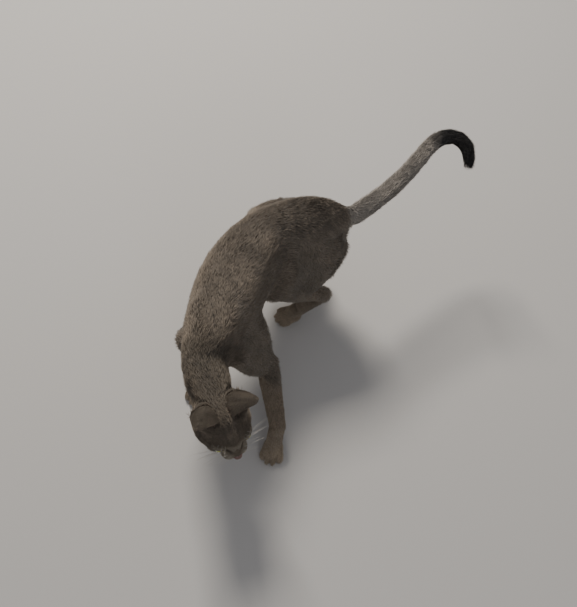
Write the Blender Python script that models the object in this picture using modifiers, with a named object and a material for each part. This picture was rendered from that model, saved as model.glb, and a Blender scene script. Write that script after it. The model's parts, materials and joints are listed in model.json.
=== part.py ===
"""A live domestic short-haired cat, life size, walking with its body bent to its left and its head low.

The cat faces -Y with its left side towards +X, and its paws stand on the floor at z = 0.
The flesh is built whole, from a lofted trunk and tail and from muscle masses laid along the bones,
and is then parted by thin plane cuts into the pieces that a person would name.
All sizes are in metres and reach out to the tips of the coat.
"""

import math

import bmesh
import bpy
import numpy as np
from mathutils import Matrix, Vector

MM = 0.001

# ---------------------------------------------------------------- driving dimensions

# The spine is followed from the root of the tail (0) to the back of the skull, seen from above.
SPINE_LENGTH = 376 * MM
RUMP_HEADING = math.radians(-146)
TRUNK_BEND = math.radians(76)
TRUNK_BEND_SPAN = (-10 * MM, 240 * MM)
NECK_BEND = math.radians(40)
NECK_BEND_SPAN = (300 * MM, 374 * MM)

# Trunk and neck sections: distance along the spine, height of the middle, half width, half height.
TRUNK_SECTIONS = (
    (-6, 200, 17, 17),
    (12, 196, 32, 32),
    (42, 190, 42, 43),
    (86, 184, 44, 50),
    (130, 178, 48, 56),
    (180, 173, 51, 60),
    (222, 172, 51, 62),
    (254, 175, 47, 59),
    (286, 179, 42, 51),
    (314, 179, 35, 42),
    (338, 173, 31, 36),
    (358, 165, 30, 32),
    (374, 157, 27, 28),
)
SECTION_SQUARENESS = 2.15

# Bones of a leg.
UPPER_ARM, FOREARM, FORE_CANNON = 86 * MM, 92 * MM, 40 * MM
THIGH_BONE, SHANK_BONE, HIND_CANNON = 100 * MM, 104 * MM, 76 * MM
BALL_HEIGHT = 11 * MM
SOLE_LEVEL = 2 * MM

# Where the legs hang: distance along the spine, distance to the side, height.
SHOULDER_JOINT = (294 * MM, 31 * MM, 158 * MM)
HIP_JOINT = (44 * MM, 27 * MM, 188 * MM)

# Where each paw's ball stands, from the point on the floor below its joint: ahead, outwards.
# The last figure is how far the bones above it lean back from upright.
STEP = {
    "fore_left": (68 * MM, 76 * MM, math.radians(40)),
    "fore_right": (8 * MM, -2 * MM, math.radians(10)),
    "hind_left": (38 * MM, 18 * MM, math.radians(44)),
    "hind_right": (34 * MM, 10 * MM, math.radians(36)),
}

# Head: middle of the skull, and its pitch and turn against the end of the neck.
SKULL_AHEAD, SKULL_HEIGHT = 30 * MM, 153 * MM
HEAD_PITCH, HEAD_TURN = math.radians(27), math.radians(4)
EYE_PLACE = (31.0 * MM, 18.2 * MM, 3.0 * MM)
EYE_RADIUS = 10.4 * MM
NOSE_PLACE = (57.4 * MM, 0.0, -10.4 * MM)
NOSE_SIZE = (4.4 * MM, 6.6 * MM, 4.6 * MM)
EAR_HEIGHT, EAR_WIDTH, EAR_CUP, EAR_WALL = 44 * MM, 40 * MM, 17 * MM, 2.2 * MM
EAR_PLACE = (-9 * MM, 25 * MM, 26 * MM)
EAR_LEAN, EAR_FACING = math.radians(24), math.radians(36)

# Tail: turn to the left and climb of its line at stations along it, then its radius.
TAIL_LENGTH = 286 * MM
TAIL_TURN = ((0, 26), (36, 41), (100, 44), (160, 52), (196, 46), (226, -4), (254, -66), (286, -112))
TAIL_CLIMB = ((0, -8), (40, -4), (110, 8), (170, 16), (210, 12), (240, -8), (286, -30))
TAIL_RADIUS = ((0, 15.5), (40, 14.4), (120, 13.0), (200, 11.8), (250, 10.8), (270, 9.2), (280, 7.0), (286, 4.2))

# Making of the solids.
VOXEL = 2.2 * MM
GAP = 0.3 * MM
FLESH_FACES = 4340
FAR = 400 * MM

FUR_GREY = (0.105, 0.088, 0.070)
FUR_TIP = (0.020, 0.018, 0.016)
EYE_AMBER = (0.42, 0.40, 0.11)
NOSE_ROSE = (0.22, 0.10, 0.085)


# ---------------------------------------------------------------- lines and frames


def eased(t):
    """Rises smoothly from 0 to 1."""
    t = min(max(t, 0.0), 1.0)
    return t * t * (3 - 2 * t)


def stations(table, at):
    """The value at one place of a table of (place, value) pairs in millimetres or degrees."""
    places, values = zip(*table)
    return float(np.interp(at / MM, places, values))


def smooth_stations(table, at, reach=14 * MM):
    """The same, averaged over a short reach so that the line has no corners."""
    offsets = np.linspace(-reach, reach, 9)
    return float(np.mean([stations(table, at + o) for o in offsets]))


def spine_heading(s):
    trunk = eased((s - TRUNK_BEND_SPAN[0]) / (TRUNK_BEND_SPAN[1] - TRUNK_BEND_SPAN[0]))
    neck = eased((s - NECK_BEND_SPAN[0]) / (NECK_BEND_SPAN[1] - NECK_BEND_SPAN[0]))
    return RUMP_HEADING + TRUNK_BEND * trunk + NECK_BEND * neck


def spine_line():
    """Points of the spine on the floor plan, every millimetre from 20 mm behind the tail's root."""
    step = MM
    places = np.arange(-20 * MM, SPINE_LENGTH + 80 * MM, step)
    headings = np.array([spine_heading(s) for s in places])
    x = np.cumsum(np.cos(headings)) * step
    y = np.cumsum(np.sin(headings)) * step
    return places, x, y


SPINE_PLACES, SPINE_X, SPINE_Y = spine_line()


def ahead_of(s):
    h = spine_heading(s)
    return Vector((math.cos(h), math.sin(h), 0))


def left_of(s):
    h = spine_heading(s)
    return Vector((-math.sin(h), math.cos(h), 0))


def in_body(s, left, height):
    """The point at a distance along the spine, to the left of it and above the floor."""
    x = np.interp(s, SPINE_PLACES, SPINE_X)
    y = np.interp(s, SPINE_PLACES, SPINE_Y)
    return Vector((x, y, height)) + left_of(s) * left


def frame_at(origin, ahead, up=Vector((0, 0, 1))):
    """A frame with X ahead, Y to the left and Z up, square to one another."""
    x = ahead.normalized()
    y = up.cross(x).normalized()
    z = x.cross(y)
    return Matrix.Translation(origin) @ Matrix((x, y, z)).transposed().to_4x4()


def head_frame():
    h = spine_heading(SPINE_LENGTH) + HEAD_TURN
    ahead = Vector((math.cos(h) * math.cos(HEAD_PITCH), math.sin(h) * math.cos(HEAD_PITCH), -math.sin(HEAD_PITCH)))
    neck_end = in_body(SPINE_LENGTH, 0, SKULL_HEIGHT)
    return frame_at(neck_end + ahead_of(SPINE_LENGTH) * SKULL_AHEAD, ahead)


def tail_line():
    """Points and radii down the tail, from inside the rump to the tip."""
    step = 2 * MM
    count = round(TAIL_LENGTH / step)
    root = in_body(4 * MM, 0, 201 * MM)
    points, radii = [root], [TAIL_RADIUS[0][1] * MM]
    for i in range(count):
        at = (i + 0.5) * step
        turn = spine_heading(0) + math.pi + math.radians(smooth_stations(TAIL_TURN, at))
        climb = math.radians(smooth_stations(TAIL_CLIMB, at))
        way = Vector((math.cos(turn) * math.cos(climb), math.sin(turn) * math.cos(climb), math.sin(climb)))
        points.append(points[-1] + way * step)
        radii.append(stations(TAIL_RADIUS, at) * MM)
    return points, radii


def bent_joint(top, bottom, upper, lower, towards):
    """The middle joint of two bones between two points, bent towards a direction."""
    span = bottom - top
    reach = min(span.length, (upper + lower) * 0.999)
    along = (upper**2 - lower**2 + reach**2) / (2 * reach)
    aside = math.sqrt(max(upper**2 - along**2, 0))
    way = span.normalized()
    bend = (towards - way * towards.dot(way)).normalized()
    return top + way * along + bend * aside


# ---------------------------------------------------------------- masses of flesh


def add_ellipsoid(bm, frame, place, half_sizes):
    """An ellipsoid in a frame: its place and its half sizes ahead, to the left and up."""
    sized = Matrix.Diagonal((*half_sizes, 1))
    bmesh.ops.create_uvsphere(
        bm, u_segments=28, v_segments=16, radius=1, matrix=frame @ Matrix.Translation(place) @ sized
    )


def add_muscle(bm, start, end, side, wide, thick, beyond=0.0):
    """An ellipsoid that runs from start to end: half width in the leg's plane, half thickness to the side."""
    along = end - start
    y = (side - along.normalized() * side.dot(along.normalized())).normalized()
    frame = frame_at((start + end) / 2, along, along.normalized().cross(y))
    add_ellipsoid(bm, frame, (0, 0, 0), (along.length / 2 + beyond, thick, wide))


def add_bone_tube(bm, start, end, radius_start, radius_end):
    """A cone from start to end with round ends."""
    way = end - start
    turn = way.to_track_quat("Z", "Y").to_matrix().to_4x4()
    bmesh.ops.create_cone(
        bm,
        cap_ends=True,
        segments=24,
        radius1=radius_start,
        radius2=radius_end,
        depth=way.length,
        matrix=Matrix.Translation((start + end) / 2) @ turn,
    )
    for point, radius in ((start, radius_start), (end, radius_end)):
        bmesh.ops.create_icosphere(bm, subdivisions=3, radius=radius, matrix=Matrix.Translation(point))


def add_loft(bm, rings):
    """A closed skin over rings of equal counts, with a point at each end."""
    rows = [[bm.verts.new(p) for p in ring] for ring in rings]
    count = len(rows[0])
    for near, far in zip(rows, rows[1:]):
        for k in range(count):
            bm.faces.new((near[k], near[(k + 1) % count], far[(k + 1) % count], far[k]))
    for row, turned in ((rows[0], True), (rows[-1], False)):
        middle = bm.verts.new(sum((v.co for v in row), Vector()) / count)
        for k in range(count):
            pair = (row[k], row[(k + 1) % count])
            bm.faces.new((*(reversed(pair) if turned else pair), middle))


def add_trunk(bm):
    """The trunk and neck: a loft of squarish ovals along the spine."""
    ring_points, rings = 32, []
    table = np.array(TRUNK_SECTIONS, float) * MM
    for s in np.arange(table[0, 0], table[-1, 0] + MM, 6 * MM):
        middle, half_width, half_height = (
            float(np.mean(np.interp(s + np.linspace(-14, 14, 9) * MM, table[:, 0], table[:, k]))) for k in (1, 2, 3)
        )
        ring = []
        for k in range(ring_points):
            angle = 2 * math.pi * k / ring_points
            c, n = math.cos(angle), math.sin(angle)
            left = math.copysign(abs(c) ** (2 / SECTION_SQUARENESS), c) * half_width
            rise = math.copysign(abs(n) ** (2 / SECTION_SQUARENESS), n) * half_height
            ring.append(in_body(s, left, middle + rise))
        rings.append(ring)
    add_loft(bm, rings)


def add_tail(bm):
    """The tail: a loft of circles down its line."""
    points, radii = tail_line()
    ring_points, rings = 20, []
    for i, (point, radius) in enumerate(zip(points, radii)):
        if i % 2 and i < len(points) - 6:
            continue
        way = points[min(i + 1, len(points) - 1)] - points[max(i - 1, 0)]
        frame = frame_at(point, way)
        angles = [2 * math.pi * k / ring_points for k in range(ring_points)]
        rings.append([frame @ Vector((0, math.cos(a) * radius, math.sin(a) * radius)) for a in angles])
    add_loft(bm, rings)


def add_paw(bm, ball, ahead, width, length):
    """A paw of a middle mass, a heel pad and four toes. The floor cut makes its sole flat."""
    floor = frame_at(Vector((ball.x, ball.y, 0)), Vector((ahead.x, ahead.y, 0)))
    add_ellipsoid(bm, floor, (-1 * MM, 0, 13 * MM), (0.40 * length, 0.46 * width, 11.5 * MM))
    add_ellipsoid(bm, floor, (-7 * MM, 0, 7 * MM), (0.24 * length, 0.36 * width, 8 * MM))
    for across in (-1.5, -0.5, 0.5, 1.5):
        inner = abs(across) < 1
        place = ((0.30 if inner else 0.17) * length, across * 0.25 * width, 8.0 * MM)
        toe = floor @ Matrix.Translation(place) @ Matrix.Rotation(across * 0.10, 4, "Z")
        add_ellipsoid(bm, toe, (0, 0, 0), (0.245 * length, 0.145 * width, 8.8 * MM))


def add_foreleg(bm, side, leg):
    """A foreleg: shoulder blade, upper arm, forearm, wrist and paw."""
    s, out, height = SHOULDER_JOINT
    joint = in_body(s, side * out, height)
    ahead, left = ahead_of(s), left_of(s) * side
    forth, outward, lean = STEP[leg]
    ball = Vector((joint.x, joint.y, BALL_HEIGHT)) + ahead * forth + left * outward
    wrist = ball + (Vector((0, 0, math.cos(lean))) - ahead * math.sin(lean)) * FORE_CANNON
    elbow = bent_joint(joint, wrist, UPPER_ARM, FOREARM, -ahead - Vector((0, 0, 0.2)))
    blade_top = in_body(s - 46 * MM, side * 19 * MM, 224 * MM)

    add_muscle(bm, blade_top, joint, left, 33 * MM, 16 * MM, beyond=6 * MM)
    add_muscle(bm, joint, elbow, left, 25 * MM, 16 * MM, beyond=12 * MM)
    add_muscle(bm, (blade_top + joint) / 2 - ahead * 10 * MM, elbow, left, 21 * MM, 14 * MM, beyond=6 * MM)
    add_bone_tube(bm, joint, elbow, 22 * MM, 16.5 * MM)
    add_muscle(bm, in_body(s - 84 * MM, side * 30 * MM, 146 * MM), elbow, left, 24 * MM, 14 * MM, beyond=8 * MM)
    add_bone_tube(bm, elbow, wrist, 17 * MM, 12.5 * MM)
    add_muscle(bm, elbow, (elbow + wrist) / 2, left, 19 * MM, 16 * MM, beyond=10 * MM)
    add_bone_tube(bm, wrist, ball + Vector((0, 0, 3 * MM)), 12.2 * MM, 12.4 * MM)
    add_paw(bm, ball, ahead + left * 0.06, 34 * MM, 46 * MM)
    return {"joint": joint, "elbow": elbow, "wrist": wrist, "ball": ball, "ahead": ahead, "out": left}


def add_hindleg(bm, side, leg):
    """A hind leg: thigh, knee, shank, hock, foot and paw."""
    s, out, height = HIP_JOINT
    joint = in_body(s, side * out, height)
    ahead, left = ahead_of(s), left_of(s) * side
    forth, outward, lean = STEP[leg]
    ball = Vector((joint.x, joint.y, BALL_HEIGHT)) + ahead * forth + left * outward
    hock = ball + (Vector((0, 0, math.cos(lean))) - ahead * math.sin(lean)) * HIND_CANNON
    knee = bent_joint(joint, hock, THIGH_BONE, SHANK_BONE, ahead + left * 0.32)
    ischium = in_body(6 * MM, side * 20 * MM, 176 * MM)
    crest = in_body(92 * MM, side * 20 * MM, 205 * MM)

    add_muscle(bm, joint - ahead * 6 * MM, knee, left, 40 * MM, 22 * MM, beyond=20 * MM)
    add_muscle(bm, ischium, (knee + hock) / 2, left, 29 * MM, 19 * MM, beyond=14 * MM)
    add_muscle(bm, crest, knee, left, 26 * MM, 17 * MM, beyond=6 * MM)
    flank = in_body(134 * MM, side * 22 * MM, 134 * MM)
    add_muscle(bm, flank, knee, left, 22 * MM, 17 * MM, beyond=20 * MM)
    add_bone_tube(bm, knee, hock, 20 * MM, 11.5 * MM)
    add_muscle(bm, knee - ahead * 6 * MM, (knee + hock * 2) / 3, left, 23 * MM, 16 * MM, beyond=10 * MM)
    add_bone_tube(bm, hock, ball + Vector((0, 0, 2 * MM)), 11.5 * MM, 11.8 * MM)
    add_paw(bm, ball, ahead + left * 0.10, 31 * MM, 48 * MM)
    return {"joint": joint, "knee": knee, "hock": hock, "ball": ball, "ahead": ahead, "out": left}


def add_head(bm, head):
    """The head: skull, brow, cheeks, muzzle, chin and jaw, and the nape that joins it to the neck."""
    middle_masses = (
        ((-4, 0, 5), (40, 35, 30)),  # skull
        ((-20, 0, -6), (30, 31, 29)),  # back of the head
        ((16, 0, 13), (25, 25, 16.5)),  # forehead
        ((39, 0, -12), (20, 14.5, 12)),  # muzzle
        ((43, 0, -27), (11, 10.5, 7.5)),  # chin
        ((15, 0, -20), (35, 23, 14.5)),  # jaw
    )
    paired_masses = (
        ((26.5, 17, 12), (13.5, 12, 8)),  # brow
        ((5, 21.5, -10), (28, 19.5, 20)),  # cheek
        ((25, 22, -8), (17, 12.5, 10)),  # cheekbone
        ((29, 8.5, 2), (18, 8, 9)),  # side of the nose
        ((45.5, 8.8, -17), (13.5, 11, 9.8)),  # whisker pad
        ((-8, 23, 17), (20, 15.5, 15)),  # root of the ear
    )
    for place, half_sizes in middle_masses:
        add_ellipsoid(bm, head, Vector(place) * MM, Vector(half_sizes) * MM)
    for place, half_sizes in paired_masses:
        for side in (1, -1):
            x, y, z = place
            add_ellipsoid(bm, head, Vector((x, y * side, z)) * MM, Vector(half_sizes) * MM)
    nape = in_body(SPINE_LENGTH - 46 * MM, 0, 180 * MM), head @ (Vector((-16, 0, 8)) * MM)
    add_bone_tube(bm, *nape, 29 * MM, 26 * MM)
    bridge = [head @ (Vector(p) * MM) for p in ((28, 0, 7), (52, 0, -8.5))]
    add_bone_tube(bm, *bridge, 12.5 * MM, 7.8 * MM)


# ---------------------------------------------------------------- making and cutting the solids


def object_from(bm, name, collection):
    mesh = bpy.data.meshes.new(name)
    bm.to_mesh(mesh)
    bm.free()
    obj = bpy.data.objects.new(name, mesh)
    collection.objects.link(obj)
    return obj


def applied(obj):
    """Turns the object's modifiers into its mesh."""
    mesh = bpy.data.meshes.new_from_object(obj.evaluated_get(bpy.context.evaluated_depsgraph_get()))
    obj.modifiers.clear()
    obj.data = mesh
    return obj


def copy_of(obj, name, collection):
    twin = bpy.data.objects.new(name, obj.data.copy())
    collection.objects.link(twin)
    return twin


def box_in(frame, low, high, grow, helpers):
    """A cutter: a box given by its low and high corners in a frame, grown on all sides."""
    low = Vector(low) - Vector((grow,) * 3)
    high = Vector(high) + Vector((grow,) * 3)
    bm = bmesh.new()
    sized = Matrix.Translation((low + high) / 2) @ Matrix.Diagonal((*(high - low), 1))
    bmesh.ops.create_cube(bm, size=1, matrix=frame @ sized)
    cutter = object_from(bm, "cutter", helpers)
    cutter.hide_render = True
    cutter.display_type = "WIRE"
    return cutter


def boolean(obj, operation, other):
    modifier = obj.modifiers.new(operation.title(), "BOOLEAN")
    modifier.operation = operation
    modifier.solver = "MANIFOLD"
    modifier.object = other
    return applied(obj)


def part_off(body, name, frame, low, high, collection, helpers):
    """Moves what lies in a box from the body into an object of its own, and leaves a thin gap."""
    piece = copy_of(body, name, collection)
    for obj, operation, grow in ((piece, "INTERSECT", 0.0), (body, "DIFFERENCE", GAP)):
        cutter = box_in(frame, low, high, grow, helpers)
        boolean(obj, operation, cutter)
        bpy.data.objects.remove(cutter)
    return piece


def weigh(flesh, name, weight_at):
    """Makes a vertex group with a weight worked out from each vertex's place."""
    group = flesh.vertex_groups.new(name=name)
    for vertex in flesh.data.vertices:
        group.add([vertex.index], weight_at(vertex.co), "REPLACE")


def breadth_at(place):
    """How far a place belongs to the broad trunk: 1 there, 0 on the legs, tail and head."""
    behind_rump = (place - in_body(0, 0, 0)).dot(-ahead_of(0))
    past_neck = (place - in_body(SPINE_LENGTH - 40 * MM, 0, 0)).dot(ahead_of(SPINE_LENGTH))
    above_legs = eased((place.z - 85 * MM) / (60 * MM))
    return above_legs * eased(1 - behind_rump / (14 * MM)) * eased(1 - past_neck / (20 * MM))


def fineness_at(place, head, balls):
    """How readily faces are merged at a place: least on the face, less on the paws, 1 elsewhere."""
    from_face = (head.inverted() @ place - Vector((26 * MM, 0, -2 * MM))).length
    from_paw = min((place - ball).length for ball in balls)
    on_face = 0.2 + 0.8 * eased((from_face - 42 * MM) / (30 * MM))
    on_paw = 0.6 + 0.4 * eased((from_paw - 30 * MM) / (30 * MM))
    return min(on_face, on_paw)


def flesh_of(bm, head, legs, collection):
    """Joins the masses into one smooth closed solid, finest on the face and paws."""
    flesh = object_from(bm, "flesh", collection)
    remesh = flesh.modifiers.new("Join", "REMESH")
    remesh.mode = "VOXEL"
    remesh.voxel_size = VOXEL
    applied(flesh)
    weigh(flesh, "broad", breadth_at)
    for name, group, rounds in (("Soften all", "", 7), ("Soften trunk", "broad", 64)):
        soften = flesh.modifiers.new(name, "SMOOTH")
        soften.factor = 0.5
        soften.iterations = rounds
        soften.vertex_group = group
    applied(flesh)
    flesh.vertex_groups.clear()
    balls = [leg["ball"] for leg in legs.values()]
    weigh(flesh, "merging", lambda place: fineness_at(place, head, balls))
    fewer = flesh.modifiers.new("Fewer faces", "DECIMATE")
    triangles = sum(len(p.vertices) - 2 for p in flesh.data.polygons)
    fewer.ratio = FLESH_FACES / triangles
    fewer.vertex_group = "merging"
    fewer.vertex_group_factor = 0.012
    fewer.use_collapse_triangulate = True
    applied(flesh)
    flesh.vertex_groups.clear()
    return flesh


def ear_leaf(bm, side):
    """The open leaf of an ear about its root: a deep cup below, flatter towards the rounded tip."""
    up = Vector((0.05, side * math.sin(EAR_LEAN), math.cos(EAR_LEAN)))
    facing = Vector((math.cos(EAR_FACING), side * math.sin(EAR_FACING), 0))
    frame = frame_at(Vector((EAR_PLACE[0], EAR_PLACE[1] * side, EAR_PLACE[2])), facing - up * facing.dot(up), up)
    across_count, up_count, root = 6, 7, -0.30
    rows = []
    for j in range(up_count + 1):
        t = root + (1 - root) * j / up_count
        above = max(t, 0)
        half = EAR_WIDTH / 2 * (0.72 * (1 - above) + 0.20 * math.sqrt(1 - above**2)) + 3.0 * MM
        depth = EAR_CUP * (1 - above) + 1.2 * MM
        row = []
        for i in range(across_count + 1):
            u = 2 * i / across_count - 1
            curl = 4 * MM * above**2
            row.append(bm.verts.new(frame @ Vector((curl - depth * (1 - u * u), u * half, EAR_HEIGHT * t))))
        rows.append(row)
    for low, high in zip(rows, rows[1:]):
        for i in range(across_count):
            bm.faces.new((low[i], low[i + 1], high[i + 1], high[i]))


def make_ear(name, side, head, skull, collection, helpers):
    """An ear with a wall, cut off where it meets the head."""
    bm = bmesh.new()
    ear_leaf(bm, side)
    bmesh.ops.transform(bm, matrix=head, verts=bm.verts)
    ear = object_from(bm, name, collection)
    wall = ear.modifiers.new("Wall", "SOLIDIFY")
    wall.thickness = EAR_WALL
    wall.offset = 0
    applied(ear)
    grown = copy_of(skull, "grown head", helpers)
    swell = grown.modifiers.new("Grow", "DISPLACE")
    swell.strength = GAP
    swell.mid_level = 0
    applied(grown)
    boolean(ear, "DIFFERENCE", grown)
    bpy.data.objects.remove(grown)
    keep_largest(ear)
    return ear


def keep_largest(obj):
    """Drops small loose offcuts from an object."""
    bm = bmesh.new()
    bm.from_mesh(obj.data)
    left, islands = set(bm.verts), []
    while left:
        island, edge = set(), [left.pop()]
        while edge:
            vertex = edge.pop()
            island.add(vertex)
            for link in vertex.link_edges:
                other = link.other_vert(vertex)
                if other in left:
                    left.remove(other)
                    edge.append(other)
        islands.append(island)
    islands.sort(key=len, reverse=True)
    for island in islands[1:]:
        bmesh.ops.delete(bm, geom=list(island), context="VERTS")
    bm.to_mesh(obj.data)
    bm.free()


def make_round(name, frame, place, half_sizes, segments, collection):
    """An eye or the nose leather: an ellipsoid of its own."""
    bm = bmesh.new()
    sized = Matrix.Translation(place) @ Matrix.Diagonal((*half_sizes, 1))
    bmesh.ops.create_uvsphere(bm, u_segments=segments, v_segments=segments // 2 + 2, radius=1, matrix=frame @ sized)
    return object_from(bm, name, collection)


def material(name, colour, roughness):
    made = bpy.data.materials.new(name)
    made.use_nodes = True
    shader = made.node_tree.nodes["Principled BSDF"]
    shader.inputs["Base Color"].default_value = (*colour, 1)
    shader.inputs["Roughness"].default_value = roughness
    shader.inputs["Metallic"].default_value = 0
    return made


def cut_head(flesh, head, collection, helpers):
    """The head with its eye sockets and nose bed, and the eyes, nose leather and ears."""
    low, high = Vector((-31, -60, -48)) * MM, Vector((90, 60, 75)) * MM
    skull = part_off(flesh, "head", head, low, high, collection, helpers)
    made = [skull]
    soft_parts = [("nose", NOSE_PLACE, NOSE_SIZE, 12)]
    for name, side in (("eye_left", 1), ("eye_right", -1)):
        x, y, z = EYE_PLACE
        soft_parts.append((name, (x, y * side, z), (EYE_RADIUS,) * 3, 14))
    for name, place, half_sizes, segments in soft_parts:
        piece = make_round(name, head, place, half_sizes, segments, collection)
        bed = make_round("bed", head, place, [h + GAP for h in half_sizes], segments, helpers)
        bed.hide_render = True
        boolean(skull, "DIFFERENCE", bed)
        bpy.data.objects.remove(bed)
        made.append(piece)
    keep_largest(skull)
    for name, side in (("ear_left", 1), ("ear_right", -1)):
        made.append(make_ear(name, side, head, skull, collection, helpers))
    return made


def cut_legs(flesh, legs, collection, helpers):
    """Each leg in three: paw, lower leg and upper leg."""
    made = []
    for leg, points in legs.items():
        kind, side_name = leg.split("_")
        fore = kind == "fore"
        side = 1 if side_name == "left" else -1
        low_joint = points["wrist"] if fore else points["hock"]
        mid_joint = points["elbow"] if fore else points["knee"]
        ankle_height = low_joint.z - 8 * MM if fore else low_joint.z - 34 * MM
        upright = frame_at(Vector((points["ball"].x, points["ball"].y, ankle_height)), points["ahead"])
        reach = 34 * MM
        paw_low = Vector((-reach - 4 * MM, -reach, -FAR))
        paw_high = Vector((reach + 14 * MM, reach, 0))
        paw_name = f"{'forepaw' if fore else 'hindpaw'}_{side_name}"
        made.append(part_off(flesh, paw_name, upright, paw_low, paw_high, collection, helpers))

        way = low_joint - mid_joint
        shin = frame_at(mid_joint + way * (0.06 if fore else 0.16), way, points["out"])
        low = Vector((0, -46 * MM, -30 * MM))
        high = Vector((way.length + 60 * MM, 46 * MM, 30 * MM))
        made.append(part_off(flesh, f"{kind}leg_{side_name}_lower", shin, low, high, collection, helpers))

        top = points["joint"]
        slant = Matrix.Rotation(side * math.radians(-26 if fore else -24), 4, "X")
        hang = frame_at(top, points["ahead"]) @ slant
        if fore:
            low, high = Vector((-78, 2, -140)), Vector((34, 90, 22))
        else:
            low, high = Vector((-60, 2, -130)), Vector((62, 90, 12))
        if side < 0:
            low.y, high.y = -high.y, -low.y
        made.append(part_off(flesh, f"{kind}leg_{side_name}_upper", hang, low * MM, high * MM, collection, helpers))
    return made


def cut_tail(flesh, collection, helpers):
    """The tail in four lengths, each cut off square to its line."""
    points, _ = tail_line()
    made = []
    names = ("tail_tip", "tail_far", "tail_middle", "tail_base")
    shares = (0.80, 0.56, 0.30, 0.055)
    for name, share in zip(names, shares):
        i = round(share * (len(points) - 1))
        frame = frame_at(points[i], points[i + 1] - points[i - 1])
        far = 110 * MM
        low, high = Vector((0, -far, -far)), Vector((far + 40 * MM, far, far))
        made.append(part_off(flesh, name, frame, low, high, collection, helpers))
    return made


def cut_trunk(flesh, collection, helpers):
    """What is left, from the front: neck, chest, belly and rump."""
    made = []
    wide = 130 * MM
    for name, s in (("neck", 338 * MM), ("chest", 218 * MM), ("belly", 108 * MM)):
        frame = frame_at(in_body(s, 0, 180 * MM), ahead_of(s))
        low, high = Vector((0, -wide, -wide)), Vector((wide + 20 * MM, wide, wide))
        made.append(part_off(flesh, name, frame, low, high, collection, helpers))
    flesh.name = "rump"
    made.append(flesh)
    return made


def level_soles(flesh, helpers):
    """Cuts the pads off flat at one level."""
    below = box_in(Matrix.Identity(4), (-1, -1, -0.2), (1, 1, SOLE_LEVEL), 0.0, helpers)
    boolean(flesh, "DIFFERENCE", below)
    bpy.data.objects.remove(below)


def stand_at_origin(nodes):
    """Moves all meshes so that the middle of the box's underside is the origin."""
    points = np.array([v.co for obj in nodes for v in obj.data.vertices])
    low, high = points.min(0), points.max(0)
    move = Matrix.Translation((-(low[0] + high[0]) / 2, -(low[1] + high[1]) / 2, -low[2]))
    for obj in nodes:
        obj.data.transform(move)
    return move


def main():
    for obj in list(bpy.data.objects):
        bpy.data.objects.remove(obj)
    collection = bpy.data.collections.new("Cat")
    helpers = bpy.data.collections.new("Cutters")
    for made in (collection, helpers):
        bpy.context.scene.collection.children.link(made)

    head = head_frame()
    bm = bmesh.new()
    add_trunk(bm)
    add_tail(bm)
    add_head(bm, head)
    legs = {}
    for side_name, side in (("left", 1), ("right", -1)):
        legs[f"fore_{side_name}"] = add_foreleg(bm, side, f"fore_{side_name}")
        legs[f"hind_{side_name}"] = add_hindleg(bm, side, f"hind_{side_name}")

    flesh = flesh_of(bm, head, legs, collection)
    level_soles(flesh, helpers)
    nodes = cut_head(flesh, head, collection, helpers)
    nodes += cut_legs(flesh, legs, collection, helpers)
    nodes += cut_tail(flesh, collection, helpers)
    nodes += cut_trunk(flesh, collection, helpers)
    for obj in nodes:
        keep_largest(obj)
    stand_at_origin(nodes)

    finishes = {
        "eye": material("eye", EYE_AMBER, 0.08),
        "nose": material("nose leather", NOSE_ROSE, 0.45),
        "tip": material("dark fur", FUR_TIP, 0.85),
        "fur": material("grey fur", FUR_GREY, 0.85),
    }
    for obj in nodes:
        kind = obj.name.split("_")[0]
        key = kind if kind in ("eye", "nose") else "tip" if obj.name == "tail_tip" else "fur"
        obj.data.materials.clear()
        obj.data.materials.append(finishes[key])
        if key in ("eye", "nose"):
            obj.data.shade_smooth()


main()
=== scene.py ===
"""A live short-haired domestic cat in a low, turning walk, dressed over its solids.

One skin takes the place of every solid of flesh, so that no seam shows. A short coat of solid tufts lies over
it. The eyes, the nose leather and the whiskers are pieces of their own. All sizes are in metres.
"""

import json
import logging
import math
from collections.abc import Sequence
from dataclasses import dataclass, field
from enum import Enum, IntEnum

import bmesh
import bpy
import numpy as np
from mathutils import Matrix, Vector
from mathutils.bvhtree import BVHTree

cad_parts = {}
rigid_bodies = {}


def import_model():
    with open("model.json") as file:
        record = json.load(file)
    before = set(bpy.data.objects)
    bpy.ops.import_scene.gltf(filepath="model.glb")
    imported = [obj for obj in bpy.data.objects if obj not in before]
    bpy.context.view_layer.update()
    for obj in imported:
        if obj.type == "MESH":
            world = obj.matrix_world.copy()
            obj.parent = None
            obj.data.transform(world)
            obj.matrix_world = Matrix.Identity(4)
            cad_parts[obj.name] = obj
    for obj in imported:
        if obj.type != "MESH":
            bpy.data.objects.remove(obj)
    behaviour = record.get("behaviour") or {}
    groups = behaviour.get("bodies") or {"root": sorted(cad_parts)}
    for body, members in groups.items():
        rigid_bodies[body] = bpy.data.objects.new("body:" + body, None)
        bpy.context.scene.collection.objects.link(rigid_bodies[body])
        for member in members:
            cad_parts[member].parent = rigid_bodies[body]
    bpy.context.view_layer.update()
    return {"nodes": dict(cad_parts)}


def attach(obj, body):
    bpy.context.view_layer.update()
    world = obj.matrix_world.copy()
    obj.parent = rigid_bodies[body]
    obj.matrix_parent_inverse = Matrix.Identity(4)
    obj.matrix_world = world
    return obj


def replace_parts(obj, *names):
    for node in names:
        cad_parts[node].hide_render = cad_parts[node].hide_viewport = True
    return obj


MM = 0.001
SEED = 7
ROOT = "root"
LEFT, RIGHT = 1, -1
COLOUR, ALONG, BAKE_MAP, GAZE_MAP = "coat colour", "along", "OFBake", "gaze"
Colour = tuple[float, float, float]
Place = tuple[float, float, float]
Pair = Span = tuple[float, float]
Stops = Sequence[tuple[float, Colour]]
Points = np.ndarray

log = logging.getLogger("cat")


# ---------------------------------------------------------------- numbers


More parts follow.
